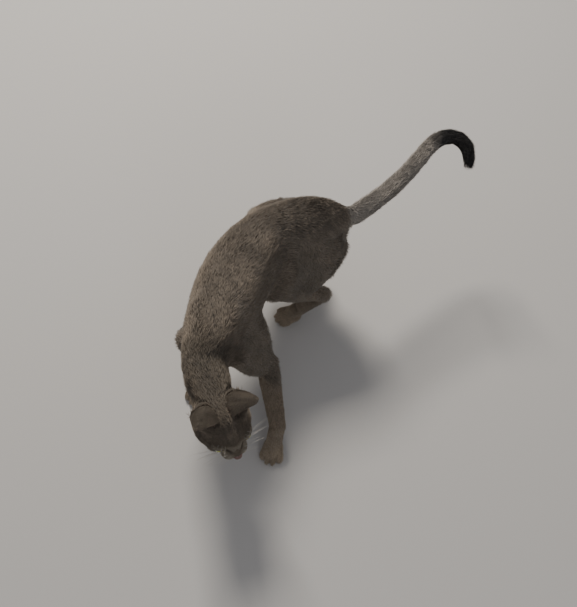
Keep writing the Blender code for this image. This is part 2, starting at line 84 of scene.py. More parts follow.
def eased(value: Points | float, low: float, high: float) -> Points:
    """Rises smoothly from 0 at low to 1 at high."""
    t = np.clip((np.asarray(value, float) - low) / (high - low), 0.0, 1.0)
    return t * t * (3 - 2 * t)


def unit(vectors: Points) -> Points:
    """The same directions, each of length 1."""
    return vectors / np.maximum(np.linalg.norm(vectors, axis=-1, keepdims=True), 1e-12)


def blend(a: Points, b: Points | Colour, share: Points) -> Points:
    """Goes from a to b as the share of each row goes from 0 to 1."""
    share = np.asarray(share)[..., None]
    return a * (1 - share) + np.asarray(b) * share


def bell(value: Points, width: float) -> Points:
    """A smooth bump: 1 at zero, and near 0 past twice the width on either side."""
    return np.exp(-((value / width) ** 2))


def ripple(points: Points, wavelength: float, seed: int) -> Points:
    """A smooth, seeded waviness over space.

    Args:
        points: Places, one to a row.
        wavelength: The usual distance between crests.
        seed: Picks the pattern.

    Returns:
        One number for each place, mostly between -1 and 1.
    """
    waves, spread, height = 7, (0.6, 1.5), 2.2
    rng = np.random.default_rng(seed)
    total = np.zeros(len(points))
    for _ in range(waves):
        way = unit(rng.normal(size=3))
        pace = 2 * math.pi / (wavelength * rng.uniform(*spread))
        total += np.sin(points @ way * pace + rng.uniform(0, 2 * math.pi))
    return total / height


# ---------------------------------------------------------------- shader expressions


class Wire:
    """A node's output in an expression. Arithmetic on it adds the Math nodes that work it out."""

    def __init__(self, tree: "Tree", socket: bpy.types.NodeSocket) -> None:
        """Wraps one socket of a tree."""
        self.tree, self.socket = tree, socket

    def _math(self, operation: str, *values: "Wire | float") -> "Wire":
        """Adds one Math node."""
        return self.tree.node("ShaderNodeMath", {"operation": operation}, dict(enumerate(values)))

    def __add__(self, other: "Wire | float") -> "Wire":
        """self + other."""
        return self._math("ADD", self, other)

    def __sub__(self, other: "Wire | float") -> "Wire":
        """self - other."""
        return self._math("SUBTRACT", self, other)

    def __rsub__(self, other: float) -> "Wire":
        """other - self."""
        return self._math("SUBTRACT", other, self)

    def __mul__(self, other: "Wire | float") -> "Wire":
        """self * other."""
        return self._math("MULTIPLY", self, other)

    def __truediv__(self, other: "Wire | float") -> "Wire":
        """self / other."""
        return self._math("DIVIDE", self, other)

    def root(self) -> "Wire":
        """The square root."""
        return self._math("SQRT", self)

    def angle_to(self, other: "Wire") -> "Wire":
        """The angle whose tangent is self over other."""
        return self._math("ARCTAN2", self, other)

    def step(self, low: float, high: float) -> "Wire":
        """Rises smoothly from 0 at low to 1 at high."""
        settings = {"interpolation_type": "SMOOTHSTEP"}
        return self.tree.node("ShaderNodeMapRange", settings, {0: self, 1: low, 2: high, 3: 0.0, 4: 1.0})

    __radd__, __rmul__ = __add__, __mul__


class Tree:
    """The node tree of one material, ending in a Principled shader."""

    def __init__(self, name: str) -> None:
        """Starts an empty material.

        Args:
            name: The material's name.
        """
        self.material = bpy.data.materials.new(name)
        self.material.use_nodes = True
        self.nodes = self.material.node_tree.nodes
        self.nodes.clear()

    def node(self, kind: str, settings: dict, inputs: dict, output: int | str = 0) -> Wire:
        """Adds one node.

        Args:
            kind: The node's type.
            settings: Its properties, set first. A ramp's stops are given as a list under "stops".
            inputs: Values or wires by input name or number.
            output: Which output to hand back.

        Returns:
            The chosen output.
        """
        made = self.nodes.new(kind)
        for key, value in settings.items():
            if key == "stops":
                self._fill_ramp(made.color_ramp, value)
            else:
                setattr(made, key, value)
        for key, value in inputs.items():
            socket = made.inputs[key]
            if isinstance(value, Wire):
                self.material.node_tree.links.new(value.socket, socket)
            else:
                socket.default_value = value
        return Wire(self, made.outputs[output])

    @staticmethod
    def _fill_ramp(ramp: bpy.types.ColorRamp, stops: Stops) -> None:
        """Sets a ramp's stops.

        Args:
            ramp: The ramp of a new node.
            stops: Where each stop lies, from 0 to 1, and its colour.
        """
        while len(ramp.elements) < len(stops):
            ramp.elements.new(0.5)
        for element, (place, colour) in zip(ramp.elements, stops):
            element.position = place
            element.color = (*colour, 1.0)

    def ramp(self, factor: Wire, stops: Stops) -> Wire:
        """A colour that follows a number through stops."""
        return self.node("ShaderNodeValToRGB", {"stops": stops}, {0: factor})

    def mix(self, factor: Wire | float, a: Wire | Colour, b: Wire | Colour, way: str = "MIX") -> Wire:
        """Mixes two colours.

        Args:
            factor: How far from a to b.
            a: The first colour.
            b: The second colour.
            way: How they are mixed.

        Returns:
            The mixed colour.
        """
        ends = [(*colour, 1.0) if isinstance(colour, tuple) else colour for colour in (a, b)]
        settings = {"data_type": "RGBA", "blend_type": way}
        return self.node("ShaderNodeMix", settings, {0: factor, 6: ends[0], 7: ends[1]}, 2)

    def scaled(self, colour: Wire, factor: Wire) -> Wire:
        """A colour made brighter or darker."""
        return self.node("ShaderNodeVectorMath", {"operation": "SCALE"}, {0: colour, "Scale": factor})

    def attribute(self, name: str, output: str = "Color") -> Wire:
        """Reads an attribute of the mesh."""
        return self.node("ShaderNodeAttribute", {"attribute_name": name}, {}, output)

    def place(self) -> Wire:
        """Object coordinates."""
        return self.node("ShaderNodeTexCoord", {}, {}, "Object")

    def split(self, vector: Wire) -> tuple[Wire, Wire]:
        """The first two parts of a vector."""
        made = self.node("ShaderNodeSeparateXYZ", {}, {0: vector}, 0)
        return made, Wire(self, made.socket.node.outputs[1])

    def noise(self, vector: Wire, scale: float, detail: float = 3.0) -> Wire:
        """Fractal noise between 0 and 1."""
        return self.node("ShaderNodeTexNoise", {}, {"Vector": vector, "Scale": scale, "Detail": detail})

    def bump(self, height: Wire, depth: float, strength: float) -> Wire:
        """A Bump node that turns heights into normals."""
        return self.node("ShaderNodeBump", {}, {"Height": height, "Distance": depth, "Strength": strength})

    def finish(self, **inputs: Wire | float | Colour) -> bpy.types.Material:
        """Ends the tree in a Principled shader.

        Args:
            inputs: Shader inputs by name, with _ for a space.

        Returns:
            The finished material.
        """
        named = {}
        for key, value in inputs.items():
            is_colour = isinstance(value, tuple) and len(value) == 3
            named[key.replace("_", " ")] = (*value, 1.0) if is_colour else value
        shader = self.node("ShaderNodeBsdfPrincipled", {}, named)
        output = self.nodes.new("ShaderNodeOutputMaterial")
        self.material.node_tree.links.new(shader.socket, output.inputs["Surface"])
        return self.material


# ---------------------------------------------------------------- finishes


@dataclass(frozen=True)
class TuftFinish:
    """Ticked hair: a dusky root, a pale band and a dark tip on each tuft, over the coat's own markings."""

    root_shade: float = 0.70
    band_shade: float = 1.22
    tip_shade: float = 0.76
    brightest: float = 1.5
    patch_scale: float = 60.0
    patch_contrast: float = 0.2
    roughness: float = 0.62

    def material(self) -> bpy.types.Material:
        """Makes the material.

        Returns:
            The finished material.
        """
        tree = Tree("ticked hair")
        root = self.root_shade
        shades = [(0.0, root), (0.34, root * 1.15), (0.62, self.band_shade), (0.94, self.tip_shade)]
        stops = [(at, (shade / self.brightest,) * 3) for at, shade in shades]
        ticking = tree.ramp(tree.attribute(ALONG, "Fac"), stops)
        colour = tree.mix(1.0, tree.attribute(COLOUR), ticking, "MULTIPLY")
        patches = tree.noise(tree.place(), self.patch_scale, 2.0).step(0.2, 0.8)
        shade = patches * self.patch_contrast + (1 - self.patch_contrast / 2)
        return tree.finish(
            Base_Color=tree.scaled(colour, shade * self.brightest),
            Roughness=self.roughness,
            Specular_IOR_Level=0.32,
            Sheen_Weight=0.12,
            Sheen_Roughness=0.4,
        )


@dataclass(frozen=True)
class SkinFinish:
    """The skin below the coat, bare on the lids, lips, pads and inner ears, with the coat's own markings."""

    grain: float = 900.0
    grain_depth: float = 0.35 * MM
    cloud_scale: float = 70.0
    darkest: float = 0.55
    contrast: float = 0.35
    dry_roughness: float = 0.72
    wet_roughness: float = 0.37

    def material(self) -> bpy.types.Material:
        """Makes the material.

        Returns:
            The finished material.
        """
        tree = Tree("skin and underfur")
        place = tree.place()
        fine = tree.noise(place, self.grain)
        broad = tree.noise(place, self.cloud_scale)
        shade = broad.step(0.25, 0.8) * self.contrast + fine.step(0.3, 0.75) * self.contrast + self.darkest
        wetness = tree.attribute(ALONG, "Fac")
        return tree.finish(
            Base_Color=tree.scaled(tree.attribute(COLOUR), shade),
            Roughness=self.dry_roughness - wetness * (self.dry_roughness - self.wet_roughness),
            Normal=tree.bump(fine, self.grain_depth, 0.7),
            Specular_IOR_Level=0.35,
        )


@dataclass(frozen=True)
class EyeFinish:
    """A yellow-green iris with fine rays and a dark rim, a slit pupil and a wet surface."""

    iris_reach: float = 0.80
    pupil_half: Pair = (0.20, 0.60)
    rays_round: float = 7.0
    rays_outward: float = 1.6
    ray_contrast: float = 0.26
    pupil: Colour = (0.002, 0.002, 0.002)
    white: tuple[Colour, Colour] = ((0.22, 0.17, 0.13), (0.30, 0.25, 0.20))
    iris: tuple[tuple[float, Colour], ...] = (
        (0.0, (0.34, 0.27, 0.035)),
        (0.5, (0.36, 0.34, 0.06)),
        (0.82, (0.24, 0.29, 0.07)),
        (0.97, (0.035, 0.035, 0.012)),
    )

    def material(self) -> bpy.types.Material:
        """Makes the material.

        Returns:
            The finished material.
        """
        tree = Tree("wet eye")
        across, upward = tree.split(tree.node("ShaderNodeUVMap", {"uv_map": GAZE_MAP}, {}))
        across, upward = across * 2 - 1, upward * 2 - 1
        reach = (across * across + upward * upward).root()
        turn = upward.angle_to(across) * self.rays_round
        rays = tree.node("ShaderNodeCombineXYZ", {}, {0: turn, 1: reach * self.rays_outward, 2: 0.0})
        streak = tree.noise(rays, 2.6, 4.0) * self.ray_contrast - self.ray_contrast / 2
        iris = tree.ramp(reach / self.iris_reach + streak, self.iris)
        wide, tall = self.pupil_half
        slit = (across * across / wide**2 + upward * upward / tall**2).root()
        eye = tree.mix(slit.step(0.86, 1.06), self.pupil, iris)
        white = tree.mix(tree.noise(tree.place(), 420.0), *self.white)
        rim = reach.step(self.iris_reach * 0.97, self.iris_reach * 1.05)
        colour = tree.mix(rim, eye, white)
        return tree.finish(
            Base_Color=colour, Roughness=0.06, Coat_Weight=1.0, Coat_Roughness=0.02, Coat_IOR=1.38
        )


@dataclass(frozen=True)
class LeatherFinish:
    """Moist pebbled skin of the nose, with painted shade in the nostrils and in the groove between them."""

    bare: Colour = (0.17, 0.086, 0.070)
    # Painted shade for the nostril hollows and the groove below the nose.
    deep: Colour = (0.020, 0.010, 0.009)
    mottle: float = 0.45
    pebbles: float = 1500.0
    pebble_depth: float = 0.12 * MM

    def material(self) -> bpy.types.Material:
        """Makes the material.

        Returns:
            The finished material.
        """
        tree = Tree("nose leather")
        place = tree.place()
        spacing = {"Vector": place, "Scale": self.pebbles}
        cells = tree.node("ShaderNodeTexVoronoi", {"feature": "DISTANCE_TO_EDGE"}, spacing)
        dusky = tuple(part * self.mottle for part in self.bare)
        mottled = tree.mix(tree.noise(place, 260.0).step(0.35, 0.7) * 0.5, self.bare, dusky)
        # The nostrils and the groove are darkened with painted shade, by the attribute that the leather
        # carries.
        return tree.finish(
            Base_Color=tree.mix(tree.attribute(ALONG, "Fac"), mottled, self.deep),
            Roughness=0.30 + tree.noise(place, 900.0) * 0.2,
            Normal=tree.bump(cells.step(0.0, 0.28), self.pebble_depth, 0.8),
            Coat_Weight=0.25,
            Coat_Roughness=0.2,
        )


@dataclass(frozen=True)
class WhiskerFinish:
    """Stiff pale hair in two close tones."""

    pale: Colour = (0.72, 0.68, 0.60)
    darker: float = 0.75

    def material(self) -> bpy.types.Material:
        """Makes the material.

        Returns:
            The finished material.
        """
        tree = Tree("whisker")
        tone = tree.noise(tree.place(), 120.0)
        dusky = tuple(part * self.darker for part in self.pale)
        return tree.finish(Base_Color=tree.mix(tone, self.pale, dusky), Roughness=0.38)


@dataclass(frozen=True)
class FloorFinish:
    """Plain pale floor."""

    pale: Colour = (0.60, 0.585, 0.56)

    def material(self) -> bpy.types.Material:
        """Makes the material."""
        return Tree("pale floor").finish(Base_Color=self.pale, Roughness=0.8)


# ---------------------------------------------------------------- meshes


def mesh_object(
    name: str, mesh: bpy.types.Mesh, material: bpy.types.Material | None = None
) -> bpy.types.Object:
    """Puts a mesh in the scene as an object at the origin.

    Args:
        name: The object's name.
        mesh: Its mesh.
        material: Takes the place of the mesh's own, where one is given.

    Returns:
        The new object.
    """
    obj = bpy.data.objects.new(name, mesh)
    bpy.context.scene.collection.objects.link(obj)
    if material is not None:
        mesh.materials.clear()
        mesh.materials.append(material)
    return obj


def evaluated(obj: bpy.types.Object) -> bpy.types.Object:
    """Turns the object's modifiers into its mesh.

    Args:
        obj: The object, which is changed.

    Returns:
        The same object.
    """
    mesh = bpy.data.meshes.new_from_object(obj.evaluated_get(bpy.context.evaluated_depsgraph_get()))
    obj.modifiers.clear()
    obj.data = mesh
    return obj


def read(collection: bpy.types.bpy_prop_collection, name: str, width: int, kind: type = float) -> Points:
    """Reads one property of all a mesh's elements.

    Args:
        collection: The elements, such as a mesh's vertices.
        name: The property.
        width: How many numbers it has.
        kind: float or int.

    Returns:
        One row for each element, or one number where the width is 1.
    """
    values = np.empty(len(collection) * width, np.float32 if kind is float else np.int32)
    collection.foreach_get(name, values)
    values = values.astype(float if kind is float else int)
    return values.reshape(-1, width) if width > 1 else values


def places_and_normals(mesh: bpy.types.Mesh) -> tuple[Points, Points]:
    """Where a mesh's vertices are, and which way each faces."""
    return read(mesh.vertices, "co", 3), read(mesh.vertices, "normal", 3)


def write_points(mesh: bpy.types.Mesh, points: Points) -> None:
    """Moves a mesh's vertices."""
    mesh.vertices.foreach_set("co", points.astype(np.float32).ravel())
    mesh.update()


def write_attribute(mesh: bpy.types.Mesh, name: str, values: Points) -> None:
    """Stores a number or a colour on each vertex.

    Args:
        mesh: The mesh.
        name: The attribute's name.
        values: A number, or a row of three, for each vertex.
    """
    kind, key = ("FLOAT", "value") if values.ndim == 1 else ("FLOAT_COLOR", "color")
    if values.ndim == 2:
        values = np.concatenate((values, np.ones((len(values), 1))), 1)
    mesh.attributes.new(name, kind, "POINT").data.foreach_set(key, values.astype(np.float32).ravel())


def write_map(mesh: bpy.types.Mesh, name: str, places: Points) -> None:
    """Adds a UV map with one place for each corner of a face."""
    mesh.uv_layers.new(name=name).uv.foreach_set("vector", places.astype(np.float32).ravel())


def pulls(mesh: bpy.types.Mesh, points: Points) -> Points:
    """From each vertex to the middle of its neighbours.

    Args:
        mesh: Gives the edges.
        points: Where its vertices are.

    Returns:
        One vector for each vertex.
    """
    ends = read(mesh.edges, "vertices", 2, int)
    count = np.maximum(np.bincount(ends.ravel(), minlength=len(points)), 1)[:, None]
    sums = [
        np.bincount(ends[:, 0], points[ends[:, 1], k], len(points))
        + np.bincount(ends[:, 1], points[ends[:, 0], k], len(points))
        for k in range(3)
    ]
    return np.stack(sums, 1) / count - points


def relaxed(mesh: bpy.types.Mesh, points: Points, weight: Points, rounds: int) -> Points:
    """Evens a surface out and keeps its volume.

    Args:
        mesh: Gives the edges.
        points: Where its vertices are.
        weight: How much each vertex may move, from 0 to 1.
        rounds: How often each vertex is moved to the middle of its neighbours, and most of the way back.

    Returns:
        The new places.
    """
    points = points.copy()
    for factor in (0.60, -0.63) * rounds:
        points += pulls(mesh, points) * (weight * factor)[:, None]
    return points


def filled(mesh: bpy.types.Mesh, points: Points, weight: Points, rounds: int) -> Points:
    """Raises the creases of a surface and leaves its bulges alone.

    Args:
        mesh: Gives the edges. Its vertices are moved along.
        points: Where its vertices are.
        weight: How much each vertex may move, from 0 to 1.
        rounds: How often each hollow vertex is raised.

    Returns:
        The new places.
    """
    pace = 0.8
    points = points.copy()
    for _ in range(rounds):
        write_points(mesh, points)
        normals = read(mesh.vertices, "normal", 3)
        hollow = np.maximum((pulls(mesh, points) * normals).sum(1), 0)
        points += normals * (hollow * weight * pace)[:, None]
    return points


def faces_mesh(name: str, points: Points, faces: list[tuple[int, ...]]) -> bpy.types.Mesh:
    """Makes a mesh with its faces turned outwards.

    Args:
        name: The mesh's name.
        points: Where its vertices are.
        faces: The numbers of each face's vertices.

    Returns:
        The mesh, shaded smooth.
    """
    bm = bmesh.new()
    verts = [bm.verts.new(point) for point in points]
    for face in faces:
        bm.faces.new([verts[i] for i in face])
    bmesh.ops.recalc_face_normals(bm, faces=bm.faces)
    mesh = bpy.data.meshes.new(name)
    bm.to_mesh(mesh)
    bm.free()
    mesh.shade_smooth()
    return mesh


def ball_mesh(name: str, rings: int) -> bpy.types.Mesh:
    """Makes a ball of radius 1, with its faces sorted, because the operator's own order differs in each run.

    Args:
        name: The mesh's name.
        rings: How many meridians it has.

    Returns:
        The ball.
    """
    bm = bmesh.new()
    bmesh.ops.create_uvsphere(bm, u_segments=rings, v_segments=rings // 2, radius=1.0)
    bm.verts.index_update()
    points = [tuple(vert.co) for vert in bm.verts]
    faces = sorted(tuple(vert.index for vert in face.verts) for face in bm.faces)
    bm.free()
    mesh = bpy.data.meshes.new(name)
    mesh.from_pydata(points, [], faces)
    return mesh


# ---------------------------------------------------------------- the cat's own places


@dataclass
class Head:
    """The head's frame, found from its eyes and nose: X ahead, Y to the left, Z up."""

    eye_ahead: float = 31.0 * MM
    eye_aside: float = 18.2 * MM
    eye_height: float = 3.0 * MM
    eye_radius: float = 10.4 * MM
    nose_ahead: float = 57.4 * MM
    nose_height: float = -10.4 * MM
    lid_yaw: float = math.radians(24)
    lid_roll: float = math.radians(13)
    gaze_yaw: float = math.radians(13)
    gaze_lift: float = 0.06
    opening: Pair = (math.radians(51), math.radians(37))
    lower_lid: float = 0.86
    opening_power: float = 1.75
    matrix: Matrix = field(default_factory=Matrix)

    def find(self, middles: dict[str, Vector]) -> None:
        """Works the frame out.

        Args:
            middles: The middles of the eyes and the nose, by the names of their solids.
        """
        left_eye, right_eye, nose = (middles[name] for name in ("eye_left", "eye_right", "nose"))
        left = (left_eye - right_eye).normalized()
        between = (left_eye + right_eye) / 2
        along = nose - between
        along = (along - left * along.dot(left)).normalized()
        slope = math.atan2(self.nose_height - self.eye_height, self.nose_ahead - self.eye_ahead)
        above = along.cross(left)
        ahead = along * math.cos(slope) - above * math.sin(slope)
        up = along * math.sin(slope) + above * math.cos(slope)
        origin = between - ahead * self.eye_ahead - up * self.eye_height
        self.matrix = Matrix.Translation(origin) @ Matrix((ahead, left, up)).transposed().to_4x4()

    def inward(self, points: Points) -> Points:
        """Places in the head's frame."""
        inverse = np.array(self.matrix.inverted())
        return points @ inverse[:3, :3].T + inverse[:3, 3]

    def outward(self, points: Points) -> Points:
        """Places in the cat's frame."""
        matrix = np.array(self.matrix)
        return points @ matrix[:3, :3].T + matrix[:3, 3]

    def turned(self, directions: Points) -> Points:
        """Directions in the cat's frame."""
        return directions @ np.array(self.matrix)[:3, :3].T

    def eye(self, side: int) -> Points:
        """The middle of an eye in the head's frame."""
        return np.array((self.eye_ahead, side * self.eye_aside, self.eye_height))

    def eye_axes(self, side: int, yaw: float, roll: float) -> Points:
        """An eye's own axes in the head's frame.

        Args:
            side: LEFT or RIGHT.
            yaw: How far the eye is turned out.
            roll: How far its outer corner is raised.

        Returns:
            The directions forward, towards the outer corner, and up, one to a row.
        """
        forward = unit(np.array((math.cos(yaw), side * math.sin(yaw), self.gaze_lift)))
        outer = unit(np.array((-math.sin(yaw), side * math.cos(yaw), math.tan(roll))))
        outer = unit(outer - forward * (outer @ forward))
        up = np.cross(forward, outer) * side
        return np.stack((forward, outer, up))

    def opening_measure(self, points: Points, side: int) -> tuple[Points, Points]:
        """How far places lie from an eye.

        Args:
            points: Places in the head's frame.
            side: LEFT or RIGHT.

        Returns:
            The measure round the opening, 1 at the lids' edge and less inside, and the distance from the
            eye's middle.
        """
        away = points - self.eye(side)
        forward, outer, up = (away @ axis for axis in self.eye_axes(side, self.lid_yaw, self.lid_roll))
        distance = np.linalg.norm(away, axis=1)
        wide, tall = self.opening
        sideways = np.arctan2(np.abs(outer), np.maximum(forward, 1e-6)) / wide
        upward = np.arcsin(np.clip(up / np.maximum(distance, 1e-9), -1, 1))
        upward = np.abs(upward) / np.where(upward > 0, tall, tall * self.lower_lid)
        measure = (sideways**self.opening_power + upward**self.opening_power) ** (1 / self.opening_power)
        return measure + 3 * (1 - eased(forward, -8 * MM, 2 * MM)), distance


class Zone(Enum):
    """Lengths of the body with a coat of one kind."""

    HEAD = "head"
    NECK = "neck"
    TRUNK = "trunk"
    TAIL = "tail"
    TAIL_TIP = "tail tip"
    THIGH = "upper leg"
    SHIN = "lower leg"
    PAW = "paw"


@dataclass(frozen=True)
class CoatKind:
    """Hair of one zone: its length, how steeply it stands and how much it hangs, and the zone's own reach."""

    hair: float
    rise: float
    droop: float
    reach: float


COAT_KINDS = {
    Zone.HEAD: CoatKind(6.5 * MM, math.radians(15), 0.0, 34 * MM),
    Zone.NECK: CoatKind(11 * MM, math.radians(15), 0.15, 32 * MM),
    Zone.TRUNK: CoatKind(12.5 * MM, math.radians(14), 0.30, 46 * MM),
    Zone.TAIL: CoatKind(10.5 * MM, math.radians(15), 0.0, 12 * MM),
    Zone.TAIL_TIP: CoatKind(10.5 * MM, math.radians(16), 0.0, 12 * MM),
    Zone.THIGH: CoatKind(11 * MM, math.radians(14), 0.3, 24 * MM),
    Zone.SHIN: CoatKind(7 * MM, math.radians(13), 0.0, 13 * MM),
    Zone.PAW: CoatKind(4.2 * MM, math.radians(14), 0.0, 13 * MM),
}


@dataclass(frozen=True)
class Length:
    """One straight length of the body, from where its hair starts to where it runs."""

    zone: Zone
    start: Points
    end: Points


@dataclass(frozen=True)
class PawFrame:
    """A paw's middle on the floor and the way its toes point."""

    middle: Points
    ahead: Points
    toe_gap: float = 8.4 * MM
    cleft_half: float = 1.15 * MM
    spread: float = 110 * MM
    reach: float = 32 * MM
    top: float = 24 * MM

    def clefts(self, points: Points) -> Points:
        """How far places lie in the clefts between the toes.

        Args:
            points: Places, one to a row.

        Returns:
            A share from 0 to 1 for each place.
        """
        away = points - self.middle
        along, across = away @ self.ahead, away @ np.cross((0, 0, 1), self.ahead)
        across = across / (1 + np.clip(along, 0, self.top) / self.spread)
        cleft = np.clip(np.round(across / self.toe_gap), -1, 1) * self.toe_gap
        line = bell(across - cleft, self.cleft_half)
        near = (np.hypot(along, across) < self.reach) & (points[:, 2] < self.top)
        return line * near * eased(along, 3 * MM, 10 * MM) * (1 - eased(points[:, 2], 15 * MM, 20 * MM))


class Body:
    """The solids as loaded, and the lengths of body that the coat follows."""

    hard_kinds = ("eye", "nose")
    sole_height = 12 * MM
    ankle_height = 4 * MM
    skull_place = (-8 * MM, 0.0, 0.0)
    muzzle_place = (52 * MM, 0.0, -12 * MM)

    def __init__(self, nodes: dict[str, bpy.types.Object]) -> None:
        """Reads the solids' middles and lays the lengths through them.

        Args:
            nodes: The solids by name.
        """
        self.nodes = nodes
        self.points = {name: read(node.data.vertices, "co", 3) for name, node in nodes.items()}
        self.middles = {name: Vector((p.min(0) + p.max(0)) / 2) for name, p in self.points.items()}
        self.head = Head()
        self.head.find(self.middles)
        self.lengths = self._lay_spine()
        for kind in ("fore", "hind"):
            for side in ("left", "right"):
                self.lengths += self._lay_leg(kind, side)
        self.paws = [self._paw_frame(name) for name in nodes if "paw" in name]

    def _paw_frame(self, name: str) -> PawFrame:
        """Finds the way that a paw's toes point.

        Args:
            name: The paw's solid.

        Returns:
            The paw's frame.
        """
        ankle, sole = self._paw_ends(name)
        points = self.points[name]
        low = points[points[:, 2] < self.sole_height]
        spread = (low - sole)[:, :2]
        ahead = np.append(np.linalg.eigh(spread.T @ spread)[1][:, 1], 0)
        if ahead @ (sole - ankle) < 0:
            ahead = -ahead
        return PawFrame(sole * np.array((1, 1, 0)), ahead)

    def _paw_ends(self, name: str) -> tuple[Points, Points]:
        """Finds where a paw begins and ends.

        Args:
            name: The paw's solid.

        Returns:
            The mean places of its ankle and of its sole.
        """
        points = self.points[name]
        height = points[:, 2]
        ankle = points[height > height.max() - self.ankle_height]
        return ankle.mean(0), points[height < self.sole_height].mean(0)

    def flesh(self) -> list[str]:
        """Names of the solids that the skin takes the place of."""
        return [name for name in self.nodes if name.split("_")[0] not in self.hard_kinds]

    def _mean(self, name: str) -> Points:
        """The mean place of a solid."""
        return self.points[name].mean(0)

    def _lay_spine(self) -> list[Length]:
        """Joins the solids' middles into lengths.

        Returns:
            The lengths from the muzzle to the tail's tip.
        """
        muzzle, skull = (self.head.outward(np.array([at]))[0] for at in (self.muzzle_place, self.skull_place))
        tip = self.points["tail_tip"]
        far = tip[np.argmax(np.linalg.norm(tip - self._mean("tail_far"), axis=1))]
        chain = [muzzle, skull, *(self._mean(name) for name in ("neck", "chest", "belly", "rump"))]
        zones = [Zone.HEAD, Zone.NECK, Zone.NECK, Zone.TRUNK, Zone.TRUNK]
        tail = [self._mean(f"tail_{part}") for part in ("base", "middle", "far", "tip")] + [far]
        chain += [tail[0] * 2 - tail[1], *tail]
        zones += [Zone.TRUNK] + [Zone.TAIL] * 3 + [Zone.TAIL_TIP] * 2
        return [Length(zone, start, end) for zone, start, end in zip(zones, chain, chain[1:])]

    def _lay_leg(self, kind: str, side: str) -> list[Length]:
        """Joins a leg's middles into lengths from its root to its toes.

        Args:
            kind: fore or hind.
            side: left or right.

        Returns:
            Five lengths, from the top down.
        """
        upper, lower = (self._mean(f"{kind}leg_{side}_{part}") for part in ("upper", "lower"))
        ankle, sole = self._paw_ends(f"{kind}paw_{side}")
        top = self.points[f"{kind}leg_{side}_upper"]
        top = top[top[:, 2] > np.percentile(top[:, 2], 80)].mean(0)
        toes = sole + (sole - ankle) * np.array((0.5, 0.5, 0))
        chain = [top, (upper + lower) / 2, lower, ankle, sole, toes]
        zones = [Zone.THIGH, Zone.SHIN, Zone.SHIN, Zone.PAW, Zone.PAW]
        return [Length(zone, start, end) for zone, start, end in zip(zones, chain, chain[1:])]

    def shares(self, points: Points) -> Points:
        """How far each place belongs to each length.

        Args:
            points: Places, one to a row.

        Returns:
            One row to a place and one column to a length, each row adding up to 1.
        """
        columns = []
        for length in self.lengths:
            span = length.end - length.start
            at = np.clip((points - length.start) @ span / (span @ span), 0, 1)
            distance = np.linalg.norm(points - length.start - at[:, None] * span, axis=1)
            columns.append((distance / COAT_KINDS[length.zone].reach + 0.05) ** -6)
        table = np.stack(columns, 1)
        return table / table.sum(1, keepdims=True)


# ---------------------------------------------------------------- the lie and colour of the coat


class EarMark(IntEnum):
    """Where on an ear a place lies."""

    NONE = 0
    BACK = 1
    INSIDE = 2


@dataclass
class Lie:
    """Hair at many places at once: where it runs, how long it is and how steeply it stands."""

    body: Body
    points: Points
    normals: Points
    ears: Points
    nose: Place = (56 * MM, 0.0, -8 * MM)
    nose_share: float = 0.26
    nose_reach: Span = (6 * MM, 78 * MM)
    face_reach: Span = (-30 * MM, 5 * MM)
    parting: Place = (60 * MM, 0.0, -12 * MM)
    swept_back: Place = (-0.55, 0.0, 0.05)
    up_the_ear: Place = (-0.12, 0.0, 1.0)
    ear_hair: float = 3.2 * MM
    inner_ear_hair: Span = (7.0 * MM, 2.4 * MM)
    ear_rise: float = math.radians(11)

    def __post_init__(self) -> None:
        """Works out the shares of each length and each zone once."""
        self.shares = self.body.shares(self.points)
        self.in_head = self.body.head.inward(self.points)
        self.zone_shares = {zone: self._zone_share(zone) for zone in Zone}
        self.from_nose = np.linalg.norm(self.in_head - np.array(self.nose), axis=1)
        self.face = self.zone_shares[Zone.HEAD] * eased(self.in_head[:, 0], *self.face_reach)

    def _zone_share(self, zone: Zone) -> Points:
        """How far each place belongs to a zone, from 0 to 1."""
        columns = [k for k, length in enumerate(self.body.lengths) if length.zone is zone]
        return self.shares[:, columns].sum(1)

    def _kinds(self, name: str) -> Points:
        """One property of the coat's kinds, mixed by the zones' shares."""
        return sum(share * getattr(COAT_KINDS[zone], name) for zone, share in self.zone_shares.items())

    def hair(self) -> Points:
        """Length of the hair: short on the nose, and its own on the ears.

        Returns:
            One length for each place.
        """
        short = self.nose_share + (1 - self.nose_share) * eased(self.from_nose, *self.nose_reach)
        hair = self._kinds("hair") * (1 + (short - 1) * self.face)
        low, high = self.inner_ear_hair
        inside = high + (low - high) * (1 - eased(self.in_head[:, 2], 30 * MM, 52 * MM))
        on_ear = np.where(self.ears == EarMark.INSIDE, inside, self.ear_hair)
        return np.where(self.ears == EarMark.NONE, hair, on_ear)

    def rise(self) -> Points:
        """Angle between the hair and the skin."""
        return np.where(self.ears == EarMark.NONE, self._kinds("rise"), self.ear_rise)

    def depth(self) -> Points:
        """How far the skin lies below the tips."""
        off_floor = eased(self.points[:, 2], 1.0 * MM, 7 * MM)
        return (self.hair() * np.sin(self.rise()) * 0.9 + 0.25 * MM) * off_floor

    def direction(self) -> Points:
        """The way the hair runs: along the body, back from the nose, and up the ears, with a slight swirl.

        Returns:
            One direction along the skin for each place.
        """
        ways = np.stack([unit(length.end - length.start) for length in self.body.lengths])
        run = self.shares @ ways
        run[:, 2] -= self._kinds("droop") * (1 - np.abs(self.normals[:, 2]))
        head = self.body.head
        backward = unit(self.in_head - np.array(self.parting)) + np.array(self.swept_back)
        run = blend(run, head.turned(backward), self.face)
        run = np.where((self.ears == EarMark.NONE)[:, None], run, head.turned(np.array(self.up_the_ear)))
        swirl = ripple(self.points, 55 * MM, SEED) * 0.20 + ripple(self.points, 14 * MM, SEED + 1) * 0.12
        run = unit(run - self.normals * (run * self.normals).sum(1, keepdims=True))
        return unit(run + np.cross(self.normals, run) * swirl[:, None])


